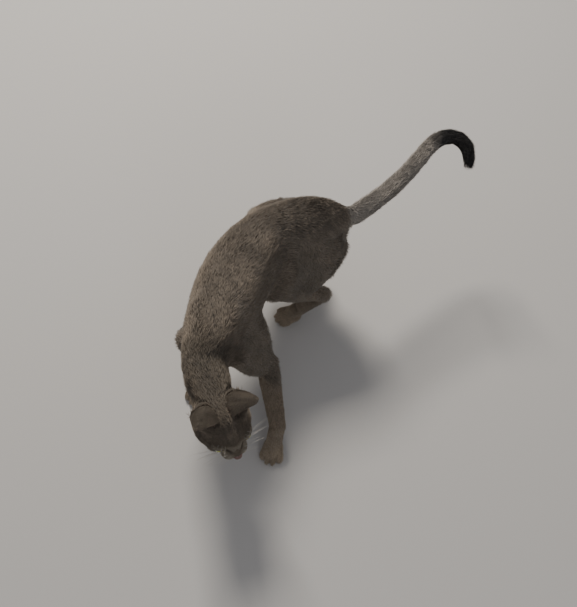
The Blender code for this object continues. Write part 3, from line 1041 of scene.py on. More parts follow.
@dataclass(frozen=True)
class Markings:
    """The coat's colours, the same on skin and tufts, and where the face's markings lie."""

    flank: Colour = (0.225, 0.186, 0.144)
    back: Colour = (0.140, 0.116, 0.090)
    nape: Colour = (0.082, 0.068, 0.051)
    under: Colour = (0.300, 0.255, 0.200)
    shin: Colour = (0.235, 0.188, 0.138)
    # Darker upper legs: the coat's own darker tone there, with painted shade of the haunch in it.
    thigh_and_shade: Colour = (0.180, 0.150, 0.115)
    paw: Colour = (0.400, 0.325, 0.240)
    tail: Colour = (0.380, 0.345, 0.305)
    tail_line: Colour = (0.105, 0.094, 0.080)
    tail_tip: Colour = (0.016, 0.014, 0.013)
    muzzle: Colour = (0.420, 0.370, 0.300)
    lip: Colour = (0.018, 0.013, 0.011)
    pad: Colour = (0.075, 0.050, 0.045)
    inner_ear: Colour = (0.300, 0.205, 0.165)
    muzzle_place: Place = (47 * MM, 8 * MM, -18 * MM)
    muzzle_reach: Span = (8 * MM, 18 * MM)
    eye_reach: float = 24 * MM
    brow_line: Pair = (7 * MM, 14 * MM)
    brow_half: float = 2.0 * MM
    middle_half: float = 1.8 * MM
    cheek_line: Pair = (10 * MM, -6 * MM)
    cheek_half: float = 1.9 * MM
    line_strength: float = 0.55

    def colours(self, lie: Lie) -> Points:
        """The colour of each place.

        Args:
            lie: The places, with the zones and the head's frame there.

        Returns:
            One colour for each place.
        """
        points, upward, zone = lie.points, lie.normals[:, 2], lie.zone_shares
        tail = zone[Zone.TAIL] + zone[Zone.TAIL_TIP]
        colour = np.tile(np.array(self.flank), (len(points), 1))
        # The upper legs get a darker colour, partly their own coat and partly painted shade of the haunch.
        colour = blend(colour, self.thigh_and_shade, zone[Zone.THIGH])
        top = eased(upward + ripple(points, 60 * MM, 3) * 0.08, 0.55, 0.98)
        colour = blend(colour, self.back, top * (1 - tail) * (1 - lie.face) * 0.9)
        nape = eased(zone[Zone.NECK], 0.05, 0.6) * eased(upward, -0.2, 0.6)
        colour = blend(colour, self.nape, nape * 0.75)
        colour = blend(colour, self.under, eased(-upward, 0.25, 0.9) * 0.75 * (1 - tail))
        colour = blend(colour, self.shin, zone[Zone.SHIN])
        colour = blend(colour, self.paw, zone[Zone.PAW])
        colour = blend(colour, self.tail, eased(tail, 0.004, 0.07))
        colour = blend(colour, self.tail_line, eased(tail, 0.3, 0.8) * eased(upward, 0.65, 0.95) * 0.5)
        colour = blend(colour, self.tail_tip, eased(zone[Zone.TAIL_TIP], 0.25, 0.75))
        colour = self._line_face(self._pale_face(colour, lie), lie)
        sole = eased(-upward, 0.6, 0.9) * eased(-points[:, 2], -4.0 * MM, -1.5 * MM)
        colour = blend(colour, self.pad, sole)
        colour = blend(colour, self.inner_ear, (lie.ears == EarMark.INSIDE).astype(float))
        mottle = 1 + 0.06 * ripple(points, 30 * MM, 11) + 0.05 * ripple(points, 7 * MM, 12)
        return colour * np.clip(mottle, 0.7, 1.3)[:, None]

    def _pale_face(self, colour: Points, lie: Lie) -> Points:
        """Adds the pale muzzle and chin, the pale rings round the eyes and their dark rims.

        Args:
            colour: The colours so far.
            lie: The places.

        Returns:
            The new colours.
        """
        at = lie.in_head
        x, y, z = at.T
        y = np.abs(y)
        ahead, aside, height = self.muzzle_place
        from_muzzle = np.hypot((x - ahead) / 1.2, np.hypot(y - aside, z - height))
        colour = blend(colour, self.muzzle, (1 - eased(from_muzzle, *self.muzzle_reach)) * lie.face * 0.85)
        chin = eased(-z, 16 * MM, 26 * MM) * eased(x, 10 * MM, 34 * MM) * lie.face
        colour = blend(colour, self.muzzle, chin * 0.8)
        for side in (LEFT, RIGHT):
            measure, distance = lie.body.head.opening_measure(at, side)
            near = (distance < self.eye_reach) & (at[:, 1] * side > 0)
            ring = np.where(near, eased(measure, 1.12, 1.3) * (1 - eased(measure, 1.45, 1.95)), 0)
            colour = blend(colour, self.muzzle, ring * 0.55)
            colour = blend(colour, self.lip, np.where(near, 1 - eased(measure, 1.06, 1.20), 0))
        return colour

    def _line_face(self, colour: Points, lie: Lie) -> Points:
        """Adds the faint dark lines of the forehead and cheeks, and the dark line of the mouth.

        Args:
            colour: The colours so far.
            lie: The places.

        Returns:
            The new colours.
        """
        x, y, z = lie.in_head.T
        y = np.abs(y)
        brow_aside, brow_height = self.brow_line
        brow = bell(y - brow_aside - (z - brow_height) * 0.12, self.brow_half) * eased(z, 16 * MM, 24 * MM)
        middle = bell(y, self.middle_half) * eased(z, 20 * MM, 27 * MM)
        cheek_ahead, cheek_height = self.cheek_line
        cheek = bell(z - cheek_height - (x - cheek_ahead) * 0.25, self.cheek_half)
        cheek = cheek * eased(-x, -24 * MM, -14 * MM) * eased(y, 18 * MM, 26 * MM)
        dark = np.clip(brow + middle + cheek, 0, 1) * lie.face * eased(x, -24 * MM, -6 * MM)
        colour = blend(colour, self.back, dark * self.line_strength)
        return blend(colour, self.lip, FaceForm.mouth_share(lie.in_head, 0.75 * MM) * lie.face)


# ---------------------------------------------------------------- the skin


@dataclass(frozen=True)
class FaceForm:
    """Folds of the face, carved into the skin in the head's frame."""

    lid: float = 0.9 * MM
    lid_swell: float = 0.35 * MM
    socket: float = 2.6 * MM
    bridge: Span = (1.5 * MM, 10.5 * MM)
    pad_place: Place = (46 * MM, 9.5 * MM, -16.5 * MM)
    pad_reach: float = 8.5 * MM
    pad_swell: float = 1.7 * MM
    mouth_half: float = 0.85 * MM
    mouth_depth: float = 1.3 * MM
    nose_place: Place = (58 * MM, 0.0, -10.4 * MM)
    nose_reach: Place = (7 * MM, 6.6 * MM, 5.0 * MM)
    nose_depth: float = 1.8 * MM

    @staticmethod
    def mouth_share(at: Points, half_width: float) -> Points:
        """How far places lie in the split below the nose or in the line of the mouth.

        Args:
            at: Places in the head's frame.
            half_width: Half the width of the lines.

        Returns:
            A share from 0 to 1 for each place.
        """
        middle_height, bow, half_mouth = -21.0 * MM, 3.6 * MM, 19 * MM
        x, y, z = at.T
        y = np.abs(y)
        height = middle_height - bow * np.sin(np.clip(y / half_mouth, 0, 1) * math.pi * 0.80)
        line = bell(z - height, half_width) * (1 - eased(y, 17 * MM, 21 * MM)) * eased(x, 18 * MM, 24 * MM)
        split = bell(y, half_width) * eased(z, -21.6 * MM, -20.6 * MM) * eased(-z, 12 * MM, 14 * MM)
        return np.clip(line + split * eased(x, 48 * MM, 52 * MM), 0, 1)

    def carve(self, head: Head, points: Points, normals: Points) -> Points:
        """Moves the skin's places to form lids, mouth and the bed of the nose.

        Args:
            head: The head's frame.
            points: The skin's places.
            normals: Their outward directions.

        Returns:
            The new places.
        """
        at = head.inward(points)
        out = head.inward(points + normals) - at
        for side in (LEFT, RIGHT):
            from_pad = (at - np.array(self.pad_place) * (1, side, 1)) / self.pad_reach
            at = at + out * (np.exp(-(from_pad**2).sum(1)) * self.pad_swell)[:, None]
        at -= out * (self.mouth_share(at, self.mouth_half) * self.mouth_depth)[:, None]
        from_nose = np.linalg.norm((at - np.array(self.nose_place)) / np.array(self.nose_reach), axis=1)
        at -= out * ((1 - eased(from_nose, 0.75, 1.15)) * self.nose_depth)[:, None]
        for side in (LEFT, RIGHT):
            at = self._lids(head, at, side)
        return head.outward(at)

    def _lids(self, head: Head, at: Points, side: int) -> Points:
        """Lays the skin over an eye and opens the lids.

        Args:
            head: The head's frame.
            at: Places in it.
            side: LEFT or RIGHT.

        Returns:
            The new places.
        """
        measure, distance = head.opening_measure(at, side)
        near = (distance < 26 * MM) & (at[:, 1] * side > 0) & (measure < 3)
        rim, inside = head.eye_radius + self.lid, head.eye_radius - self.socket
        target = np.where(measure < 1, inside + (rim - inside) * eased(measure, 0.90, 1.0), rim)
        target = target + bell(measure - 1.12, 0.13) * self.lid_swell
        share = (1 - eased(measure, 1.22, 2.1)) * eased(at[:, 1] * side, *self.bridge)
        radius = target * share + distance * (1 - share)
        eye = head.eye(side)
        moved = eye + (at - eye) * (radius / np.maximum(distance, 1e-9))[:, None]
        return np.where(near[:, None], moved, at)


@dataclass(frozen=True)
class EarForm:
    """An ear: a deep cup at the root, flatter towards its rounded tip."""

    height: float = 43.4 * MM
    width: float = 39.0 * MM
    cup: float = 17 * MM
    wall: float = 1.3 * MM
    edge: float = 0.12 * MM
    tip_lean: float = 4 * MM
    fold: float = 1.6 * MM
    place: Place = (-9 * MM, 25 * MM, 26 * MM)
    lean: float = math.radians(24)
    facing: float = math.radians(36)
    root: float = -0.30
    tip: float = 0.995
    across: int = 36
    upward: int = 44

    def frame(self, side: int) -> tuple[Points, Points]:
        """An ear's frame.

        Args:
            side: LEFT or RIGHT.

        Returns:
            Its place in the head's frame, and its facing, across and up directions, one to a row.
        """
        up = unit(np.array((0.05, side * math.sin(self.lean), math.cos(self.lean))))
        facing = np.array((math.cos(self.facing), side * math.sin(self.facing), 0.0))
        facing = unit(facing - up * (facing @ up))
        return np.array(self.place) * (1, side, 1), np.stack((facing, np.cross(up, facing), up))

    def leaf(self, across: Points, upward: Points, offset: Points, side: int) -> Points:
        """Places on the ear's leaf in the head's frame.

        Args:
            across: From -1 at one edge to 1 at the other.
            upward: From 0 at the root to 1 at the tip, and less below the skin.
            offset: How far the places lie ahead of the leaf's middle.
            side: LEFT or RIGHT.

        Returns:
            One place for each row.
        """
        above = np.maximum(upward, 0)
        half = self.width / 2 * (0.72 * (1 - above) + 0.20 * np.sqrt(np.maximum(1 - above**2, 0))) + 3.0 * MM
        half = half * np.sqrt(np.clip(1 - (np.maximum(upward - 0.90, 0) / 0.10) ** 2, 0, 1))
        depth = self.cup * (1 - above) + 1.2 * MM
        fold = bell(across + 0.35, 0.16) * eased(upward, -0.2, 0.1) * (1 - eased(upward, 0.3, 0.8))
        ahead = self.tip_lean * above**2 - depth * (1 - across**2) + self.fold * fold + offset
        local = np.stack((ahead, across * half * side, self.height * upward), -1)
        place, axes = self.frame(side)
        return place + local @ (axes * np.array((1, side, 1))[:, None])

    def mesh(self, head: Head, side: int) -> bpy.types.Mesh:
        """The closed ear with its wall, thinner at the edge.

        Args:
            head: The head's frame.
            side: LEFT or RIGHT.

        Returns:
            The ear's mesh in the cat's frame.
        """
        across = np.sin(np.linspace(-1, 1, self.across) * math.pi / 2)
        u, t = np.meshgrid(across, np.linspace(self.root, self.tip, self.upward))
        wall = self.wall / 2 * np.sqrt(np.clip(1 - u**2, 0, 1)) + self.edge
        front, back = (self.leaf(u.ravel(), t.ravel(), (wall * way).ravel(), side) for way in (1, -1))
        points = head.outward(np.concatenate((front, back)))
        return faces_mesh("ear", points, self._faces())

    def _faces(self) -> list[tuple[int, ...]]:
        """Joins the places of the leaf's two sides.

        Returns:
            The faces of the front, the back, the two edges, the root and the tip.
        """
        wide, total = self.across, self.across * self.upward
        faces = []
        for j in range(self.upward - 1):
            for i in range(wide - 1):
                a = j * wide + i
                faces.append((a, a + 1, a + wide + 1, a + wide))
                faces.append(tuple(total + k for k in (a, a + wide, a + wide + 1, a + 1)))
            for i in (0, wide - 1):
                a = j * wide + i
                faces.append((a, a + wide, total + a + wide, total + a))
        for start in (0, (self.upward - 1) * wide):
            faces += [(i, i + 1, total + i + 1, total + i) for i in range(start, start + wide - 1)]
        return faces


@dataclass
class Skin:
    """One closed skin over the whole animal, below the coat."""

    body: Body
    voxel: float = 2.4 * MM
    grow: float = 0.5 * MM
    evening: int = 18
    fillings: int = 26
    last_evening: int = 6
    face_middle: Place = (30 * MM, 0.0, 0.0)
    cleft_depth: float = 1.7 * MM
    bridge: Place = (42 * MM, 0.0, 5 * MM)
    bridge_reach: Span = (8 * MM, 18 * MM)
    seam_evening: int = 5
    ear_form: EarForm = field(default_factory=EarForm)
    ear_trees: list[BVHTree] = field(default_factory=list)

    def build(self, material: bpy.types.Material) -> bpy.types.Object:
        """Makes the skin in place of every solid of flesh.

        Args:
            material: Its finish.

        Returns:
            The skin, not yet unwrapped.
        """
        obj = self._join()
        self._even(obj.data)
        self._sink(obj.data)
        self._refine_details(obj.data)
        self._carve(obj.data)
        self._join_ears(obj)
        obj.data.shade_smooth()
        obj.data.materials.clear()
        obj.data.materials.append(material)
        return obj

    def _join(self) -> bpy.types.Object:
        """Joins copies of the solids, each grown a little so that it meets its neighbours, and remeshes them.

        Returns:
            One closed surface round all the flesh but the ears.
        """
        bm = bmesh.new()
        for name, node in self.body.nodes.items():
            if name.startswith("ear"):
                continue
            part = bmesh.new()
            part.from_mesh(node.data)
            bmesh.ops.remove_doubles(part, verts=part.verts, dist=1e-6)
            bmesh.ops.recalc_face_normals(part, faces=part.faces)
            part.normal_update()
            for vertex in part.verts:
                vertex.co += vertex.normal * self.grow
            grown = bpy.data.meshes.new("grown")
            part.to_mesh(grown)
            part.free()
            bm.from_mesh(grown)
            bpy.data.meshes.remove(grown)
        mesh = bpy.data.meshes.new("skin")
        bm.to_mesh(mesh)
        bm.free()
        obj = mesh_object("skin", mesh)
        remesh = obj.modifiers.new("one surface", "REMESH")
        remesh.mode = "VOXEL"
        remesh.voxel_size = self.voxel
        return evaluated(obj)

    def _even(self, mesh: bpy.types.Mesh) -> None:
        """Evens the joined surface out, less on the face and the paws, and raises its creases.

        Args:
            mesh: The skin's mesh, which is changed.
        """
        points = read(mesh.vertices, "co", 3)
        at = self.body.head.inward(points)
        from_face = np.linalg.norm(at - np.array(self.face_middle), axis=1)
        weight = 0.45 + 0.55 * eased(from_face, 35 * MM, 60 * MM)
        weight *= 0.35 + 0.65 * eased(points[:, 2], 12 * MM, 40 * MM)
        points = relaxed(mesh, points, weight, self.evening)
        off_head = eased(np.linalg.norm(at, axis=1), 60 * MM, 80 * MM)
        raised = filled(mesh, points, eased(points[:, 2], 70 * MM, 120 * MM) * off_head, self.fillings)
        points = relaxed(mesh, raised, weight, self.last_evening)
        points[points[:, 2] < 0.9 * MM, 2] = 0
        write_points(mesh, points)

    def _sink(self, mesh: bpy.types.Mesh) -> None:
        """Lets the skin down by the coat's depth.

        Args:
            mesh: The skin's mesh, which is changed.
        """
        points, normals = places_and_normals(mesh)
        lie = Lie(self.body, points, normals, np.zeros(len(points)))
        down = lie.depth() + self.grow * 0.8 * eased(points[:, 2], 0.5 * MM, 3 * MM)
        even = relaxed(mesh, points - normals * down[:, None], np.ones(len(points)), 2)
        even[:, 2] = np.where(points[:, 2] < 0.5 * MM, 0, np.maximum(even[:, 2], 0))
        write_points(mesh, even)

    def _refine_details(self, mesh: bpy.types.Mesh) -> None:
        """Makes the mesh finer on the face, the lids, the mouth and the toes.

        Args:
            mesh: The skin's mesh, which is changed.
        """
        head = self.body.head
        face = [(44, 0, -4)]
        lids_and_mouth = [(38, 20, 3), (38, -20, 3), (56, 0, -16)]
        toes = np.array([paw.middle + paw.ahead * 14 * MM for paw in self.body.paws])
        self._refine(mesh, head.outward(np.array(face) * MM), 38 * MM)
        self._refine(mesh, head.outward(np.array(lids_and_mouth) * MM), 15 * MM)
        self._refine(mesh, toes, 22 * MM)

    @staticmethod
    def _refine(mesh: bpy.types.Mesh, places: Points, reach: float) -> None:
        """Splits the faces near some places.

        Args:
            mesh: The skin's mesh, which is changed.
            places: The places.
            reach: How near a face's middle has to be.
        """
        bm = bmesh.new()
        bm.from_mesh(mesh)
        centres = np.array([face.calc_center_median() for face in bm.faces])
        near = np.min([np.linalg.norm(centres - place, axis=1) for place in places], axis=0) < reach
        bm.faces.ensure_lookup_table()
        edges = {edge for k in np.flatnonzero(near) for edge in bm.faces[k].edges}
        bmesh.ops.subdivide_edges(bm, edges=list(edges), cuts=1, use_grid_fill=True, smooth=0.6)
        bmesh.ops.triangulate(bm, faces=[face for face in bm.faces if len(face.verts) > 4])
        bm.to_mesh(mesh)
        bm.free()

    def _carve(self, mesh: bpy.types.Mesh) -> None:
        """Carves the toes, smooths the nose's bridge and carves the face.

        Args:
            mesh: The skin's mesh, which is changed.
        """
        points, normals = places_and_normals(mesh)
        for paw in self.body.paws:
            points = points - normals * (paw.clefts(points) * self.cleft_depth)[:, None]
        points[:, 2] = np.maximum(points[:, 2], 0)
        head = self.body.head
        from_bridge = np.linalg.norm(head.inward(points) - np.array(self.bridge), axis=1)
        points = relaxed(mesh, points, 1 - eased(from_bridge, *self.bridge_reach), self.evening)
        write_points(mesh, FaceForm().carve(head, points, normals))

    def _join_ears(self, obj: bpy.types.Object) -> None:
        """Grows the ears out of the skull, and softens where they meet it.

        Args:
            obj: The skin, which is changed.
        """
        for side in (LEFT, RIGHT):
            ear = mesh_object("ear", self.ear_form.mesh(self.body.head, side))
            self.ear_trees.append(BVHTree.FromObject(ear, bpy.context.evaluated_depsgraph_get()))
            union = obj.modifiers.new("ear", "BOOLEAN")
            union.operation = "UNION"
            union.solver = "MANIFOLD"
            union.object = ear
            evaluated(obj)
            bpy.data.objects.remove(ear)
        mesh = obj.data
        bm = bmesh.new()
        bm.from_mesh(mesh)
        bmesh.ops.poke(bm, faces=[face for face in bm.faces if len(face.verts) > 4])
        bm.to_mesh(mesh)
        bm.free()
        points = read(mesh.vertices, "co", 3)
        seam = np.zeros(len(points))
        for side in (LEFT, RIGHT):
            local = self._in_ear(points, side)
            near_ear = np.linalg.norm(local, axis=1) < 40 * MM
            at_root = 1 - eased(np.abs(local[:, 2] + 1 * MM), 5 * MM, 11 * MM)
            seam = np.maximum(seam, near_ear * at_root)
        write_points(mesh, relaxed(mesh, points, seam * 0.8, self.seam_evening))

    def _in_ear(self, points: Points, side: int) -> Points:
        """Places in an ear's own frame."""
        place, axes = self.ear_form.frame(side)
        return (self.body.head.inward(points) - place) @ axes.T

    def ear_marks(self, points: Points, normals: Points) -> Points:
        """Tells which places are on an ear.

        Args:
            points: Places on the skin.
            normals: The way the skin faces there.

        Returns:
            One EarMark for each place.
        """
        marks = np.full(len(points), EarMark.NONE)
        for side, tree in zip((LEFT, RIGHT), self.ear_trees):
            local = self._in_ear(points, side)
            near = np.flatnonzero((np.linalg.norm(local, axis=1) < 60 * MM) & (local[:, 2] > -2 * MM))
            facing = self.body.head.turned(self.ear_form.frame(side)[1][0])
            for k in near:
                if tree.find_nearest(points[k], 0.7 * MM)[0] is not None:
                    marks[k] = EarMark.INSIDE if normals[k] @ facing > 0.12 else EarMark.BACK
        return marks

    def dress(self, obj: bpy.types.Object, markings: Markings) -> None:
        """Stores the markings on the skin and unwraps it.

        Args:
            obj: The skin.
            markings: The coat's colours.
        """
        mesh = obj.data
        points, normals = places_and_normals(mesh)
        lie = Lie(self.body, points, normals, self.ear_marks(points, normals))
        write_attribute(mesh, COLOUR, markings.colours(lie))
        rims = [self.body.head.opening_measure(lie.in_head, side) for side in (LEFT, RIGHT)]
        wet = np.max([(1 - eased(m, 1.05, 1.2)) * (d < 20 * MM) for m, d in rims], axis=0)
        write_attribute(mesh, ALONG, wet)
        bpy.ops.object.select_all(action="DESELECT")
        bpy.context.view_layer.objects.active = obj
        obj.select_set(True)
        bpy.ops.object.mode_set(mode="EDIT")
        bpy.ops.mesh.select_all(action="SELECT")
        bpy.ops.uv.smart_project(angle_limit=1.15, island_margin=0.002)
        bpy.ops.object.mode_set(mode="OBJECT")
        mesh.uv_layers[0].name = BAKE_MAP


# ---------------------------------------------------------------- the coat


@dataclass
class Coat:
    """Closed tufts of hair over the skin, in pieces of a size that keeps every face."""

    body: Body
    tufts: int = 250_000
    quick_tufts: int = 50_000
    per_piece: int = 32_000
    patch: float = 0.003
    ticking_spread: float = 0.14
    widest: float = 0.42
    width_share: float = 0.10
    widths: Span = (0.32 * MM, 1.1 * MM)
    stray: float = 0.13
    rooting: float = 0.35 * MM
    closeness_power: float = -1.35
    inner_ear_share: float = 0.35

    def build(
        self, skin: Skin, obj: bpy.types.Object, material: bpy.types.Material, markings: Markings
    ) -> list[bpy.types.Object]:
        """Scatters the roots, grows a tuft from each and shares them out over the pieces.

        Args:
            skin: Tells where the ears are.
            obj: The skin, unwrapped.
            material: The tufts' finish.
            markings: The coat's colours.

        Returns:
            The coat's pieces.
        """
        rng = np.random.default_rng(SEED)
        count = self.tufts
        roots, normals, maps = self._scatter(obj, count, rng)
        lie = Lie(self.body, roots, normals, skin.ear_marks(roots, normals))
        kept = self._kept(lie, rng)
        lie = Lie(self.body, roots[kept], normals[kept], lie.ears[kept])
        maps = maps[kept]
        corners = self._grow(lie, rng)
        colours = markings.colours(lie) * np.exp(rng.normal(0, self.ticking_spread, len(maps)))[:, None]
        order = np.argsort(lie.shares.argmax(1), kind="stable")
        pieces = []
        for k, chosen in enumerate(np.array_split(order, math.ceil(len(order) / self.per_piece))):
            mesh = self._mesh(corners[chosen], colours[chosen], maps[chosen])
            pieces.append(mesh_object(f"coat_{k + 1}", mesh, material))
        log.info("coat: %d tufts in %d pieces", len(order), len(pieces))
        return pieces

    def _scatter(
        self, obj: bpy.types.Object, count: int, rng: np.random.Generator
    ) -> tuple[Points, Points, Points]:
        """Picks roots over the skin, closer together where the hair is short.

        Args:
            obj: The skin, unwrapped.
            count: How many roots.
            rng: Gives the chances.

        Returns:
            The roots, the skin's normals there, and their places on the unwrap.
        """
        mesh = obj.data
        mesh.calc_loop_triangles()
        triangles = read(mesh.loop_triangles, "vertices", 3, int)
        loops = read(mesh.loop_triangles, "loops", 3, int)
        points, normals = places_and_normals(mesh)
        unwrap = read(mesh.uv_layers[BAKE_MAP].uv, "vector", 2)
        a, b, c = (points[triangles[:, k]] for k in range(3))
        crossed = np.cross(b - a, c - a)
        middle = (a + b + c) / 3
        lie = Lie(self.body, middle, unit(crossed), np.zeros(len(middle)))
        closeness = (lie.hair() + 1.5 * MM) ** self.closeness_power
        shares = np.cumsum(np.linalg.norm(crossed, axis=1) / 2 * closeness)
        picks = (np.arange(count) + rng.random(count)) / count * shares[-1]
        chosen = np.searchsorted(shares, picks)
        u, v = rng.random((2, count))
        flip = u + v > 1
        u[flip], v[flip] = 1 - u[flip], 1 - v[flip]
        weights = np.stack((1 - u - v, u, v), 1)[:, :, None]
        tables = ((points, triangles), (normals, triangles), (unwrap, loops))
        root, normal, place = ((table[index[chosen]] * weights).sum(1) for table, index in tables)
        return root, unit(normal), place

    def _kept(self, lie: Lie, rng: np.random.Generator) -> Points:
        """Tells which roots bear hair: none on the eyes, nose, lips or soles, and few inside the ears.

        Args:
            lie: The roots.
            rng: Gives the chances.

        Returns:
            True for each root that is kept.
        """
        keep = ~((lie.points[:, 2] < 3.0 * MM) & (lie.normals[:, 2] < 0.15))
        for side in (LEFT, RIGHT):
            measure, distance = self.body.head.opening_measure(lie.in_head, side)
            keep &= ~((measure < 1.13) & (distance < 18 * MM) & (lie.in_head[:, 1] * side > 0))
        nose_place, nose_reach = np.array(FaceForm.nose_place), np.array((8 * MM, 6.4 * MM, 4.6 * MM))
        keep &= np.linalg.norm((lie.in_head - nose_place) / nose_reach, axis=1) > 1.02
        keep &= FaceForm.mouth_share(lie.in_head, 0.6 * MM) * lie.face < 0.35
        return keep & ((lie.ears != EarMark.INSIDE) | (rng.random(len(keep)) < self.inner_ear_share))

    def _grow(self, lie: Lie, rng: np.random.Generator) -> Points:
        """Shapes each tuft.

        Args:
            lie: The roots.
            rng: Gives the chances.

        Returns:
            The five corners of each tuft: its root, three round its thickest place, and its tip.
        """
        count = len(lie.points)
        hair = lie.hair() * rng.uniform(0.75, 1.2, count)
        rise = lie.rise() * rng.uniform(0.6, 1.45, count)
        width = np.clip(hair * self.width_share, *self.widths) * rng.uniform(0.8, 1.2, count)
        stray = rng.normal(0, self.stray, count)[:, None]
        run = lie.direction()
        run = unit(run + np.cross(lie.normals, run) * stray)
        side = np.cross(lie.normals, run)
        lift = np.sin(rise)[:, None]
        hair, width = hair[:, None], width[:, None]
        root = lie.points - lie.normals * self.rooting - run * hair * 0.06
        middle = lie.points + run * hair * self.widest + lie.normals * hair * lift * 0.62
        tip = lie.points + run * hair * np.cos(rise)[:, None] + lie.normals * hair * lift
        thick = width * 0.34
        low = lie.normals * thick * 0.4
        ridge = middle + lie.normals * thick * 0.6
        edges = middle - side * width / 2 - low, middle + side * width / 2 - low
        corners = np.stack((root, edges[0], ridge, edges[1], tip), 1)
        corners[:, :, 2] = np.maximum(corners[:, :, 2], 0.15 * MM)
        return corners

    def _mesh(self, corners: Points, colours: Points, maps: Points) -> bpy.types.Mesh:
        """Makes one piece of the coat.

        Args:
            corners: Five places for each tuft.
            colours: A colour for each tuft.
            maps: The root's place on the skin's unwrap, for each tuft.

        Returns:
            The piece's mesh, with each tuft's faces in a small patch of the unwrap round its root.
        """
        count = len(corners)
        local = np.array([(0, 1, 2), (0, 2, 3), (0, 3, 1), (1, 4, 2), (2, 4, 3), (3, 4, 1)])
        faces = (local[None] + np.arange(count)[:, None, None] * 5).reshape(-1, 3)
        mesh = bpy.data.meshes.new("coat")
        mesh.vertices.add(count * 5)
        mesh.loops.add(faces.size)
        mesh.polygons.add(len(faces))
        mesh.vertices.foreach_set("co", corners.astype(np.float32).ravel())
        mesh.loops.foreach_set("vertex_index", faces.astype(np.int32).ravel())
        mesh.polygons.foreach_set("loop_start", np.arange(0, faces.size, 3, dtype=np.int32))
        mesh.update(calc_edges=True)
        low = [((k + 0.5, 0), (k, 0.5), (k + 1, 0.5)) for k in range(3)]
        high = [((k, 0.5), (k + 0.5, 1), (k + 1, 0.5)) for k in range(3)]
        layout = (np.array(low + high) / np.array((3, 1)) - 0.5) * self.patch
        write_map(mesh, BAKE_MAP, np.clip(maps[:, None, None] + layout[None], 0, 1))
        write_attribute(mesh, COLOUR, np.repeat(colours, 5, axis=0))
        write_attribute(mesh, ALONG, np.tile((0.0, self.widest, self.widest, self.widest, 1.0), count))
        mesh.shade_smooth()
        return mesh


# ---------------------------------------------------------------- eyes, nose and whiskers


@dataclass(frozen=True)
class Eye:
    """An eyeball with the swell of its cornea."""

    head: Head
    side: int
    swell: float = 0.55 * MM
    clearance: float = 0.1 * MM
    roll: float = math.radians(3)
    rings: int = 48

    def build(self, material: bpy.types.Material) -> bpy.types.Object:
        """Makes one eye.

        Args:
            material: Its finish.

        Returns:
            The eye, in place of its solid.
        """
        name = "eye_left" if self.side == LEFT else "eye_right"
        mesh = ball_mesh(f"{name}_ball", self.rings)
        across, up, forward = read(mesh.vertices, "co", 3).T
        radius = self.head.eye_radius - self.clearance + self.swell * eased(forward, 0.62, 0.95)
        axes = self.head.eye_axes(self.side, self.head.gaze_yaw, self.roll)
        at = self.head.eye(self.side) + (np.stack((forward, across, up), 1) @ axes) * radius[:, None]
        write_points(mesh, self.head.outward(at))
        corners = read(mesh.loops, "vertex_index", 1, int)
        flat = np.where(forward > 0, 1.0, 1.6)[:, None] * np.stack((across, up), 1)
        write_map(mesh, GAZE_MAP, flat[corners] / 2 + 0.5)
        bm = bmesh.new()
        bm.from_mesh(mesh)
        bmesh.ops.recalc_face_normals(bm, faces=bm.faces)
        bm.to_mesh(mesh)
        bm.free()
        mesh.shade_smooth()
        obj = mesh_object(f"{name}_ball", mesh, material)
        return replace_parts(obj, name)


@dataclass(frozen=True)
class NoseLeather:
    """The bare nose: wide above, narrow below, with two comma-shaped nostrils."""

    head: Head
    half_sizes: Place = (5.6 * MM, 6.5 * MM, 4.7 * MM)
    sunk: float = 0.9 * MM
    nostril_aside: float = 3.3 * MM
    nostril_half: Pair = (1.5 * MM, 0.95 * MM)
    nostril_depth: float = 2.4 * MM
    groove_half: float = 0.42 * MM
    groove_depth: float = 0.7 * MM
    wing: float = 0.35 * MM
    rings: int = 72

    def build(self, material: bpy.types.Material) -> bpy.types.Object:
        """Makes the nose leather.

        Args:
            material: Its finish.

        Returns:
            The nose leather, in place of the nose's solid.
        """
        mesh = ball_mesh("nose_leather", self.rings)
        x, y, z = read(mesh.vertices, "co", 3).T
        narrow = 1 - 0.52 * eased(-z, 0.1, 1.0)
        flat = 1 - 0.12 * eased(z, 0.3, 1.0)
        shape = np.stack((x * flat, y * narrow, z), 1) * np.array(self.half_sizes)
        across, height = shape[:, 1], shape[:, 2]
        wide, tall = self.nostril_half
        aside = np.abs(across) - self.nostril_aside
        nostril = np.hypot(aside / wide, (height + 0.3 * MM + aside * 0.35) / tall)
        hollow = (1 - eased(nostril, 0.35, 1.25)) * (x > 0)
        groove = bell(across, self.groove_half) * eased(-height, -1.4 * MM, 0.4 * MM) * (x > 0)
        wing = bell(nostril - 1.6, 0.5) * (x > 0)
        shape[:, 0] += wing * self.wing - hollow * self.nostril_depth - groove * self.groove_depth
        at = shape + np.array((self.head.nose_ahead - self.sunk, 0, self.head.nose_height))
        write_points(mesh, self.head.outward(at))
        # Painted shade for the nostrils and the groove, which the leather's finish mixes in.
        write_attribute(mesh, ALONG, np.clip(hollow * 1.2 + groove * 0.5, 0, 1))
        mesh.shade_smooth()
        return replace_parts(mesh_object("nose_leather", mesh, material), "nose")


@dataclass(frozen=True)
class WhiskerLine:
    """One whisker in the head's frame: its root, the way it sets out, its length and how much it sags."""

    root: Points
    way: Points
    length: float
    sag: float

    def point(self, head: Head, start: Points, share: float) -> Points:
        """A place along the whisker in the cat's frame.

        Args:
            head: The head's frame.
            start: The root's place on the skin.
            share: From 0 at the root to 1 at the tip.

        Returns:
            The place.
        """
        out = head.turned(self.way) * self.length * (share - 0.02)
        return start + out - np.array((0, 0, 1)) * self.length * self.sag * share * share


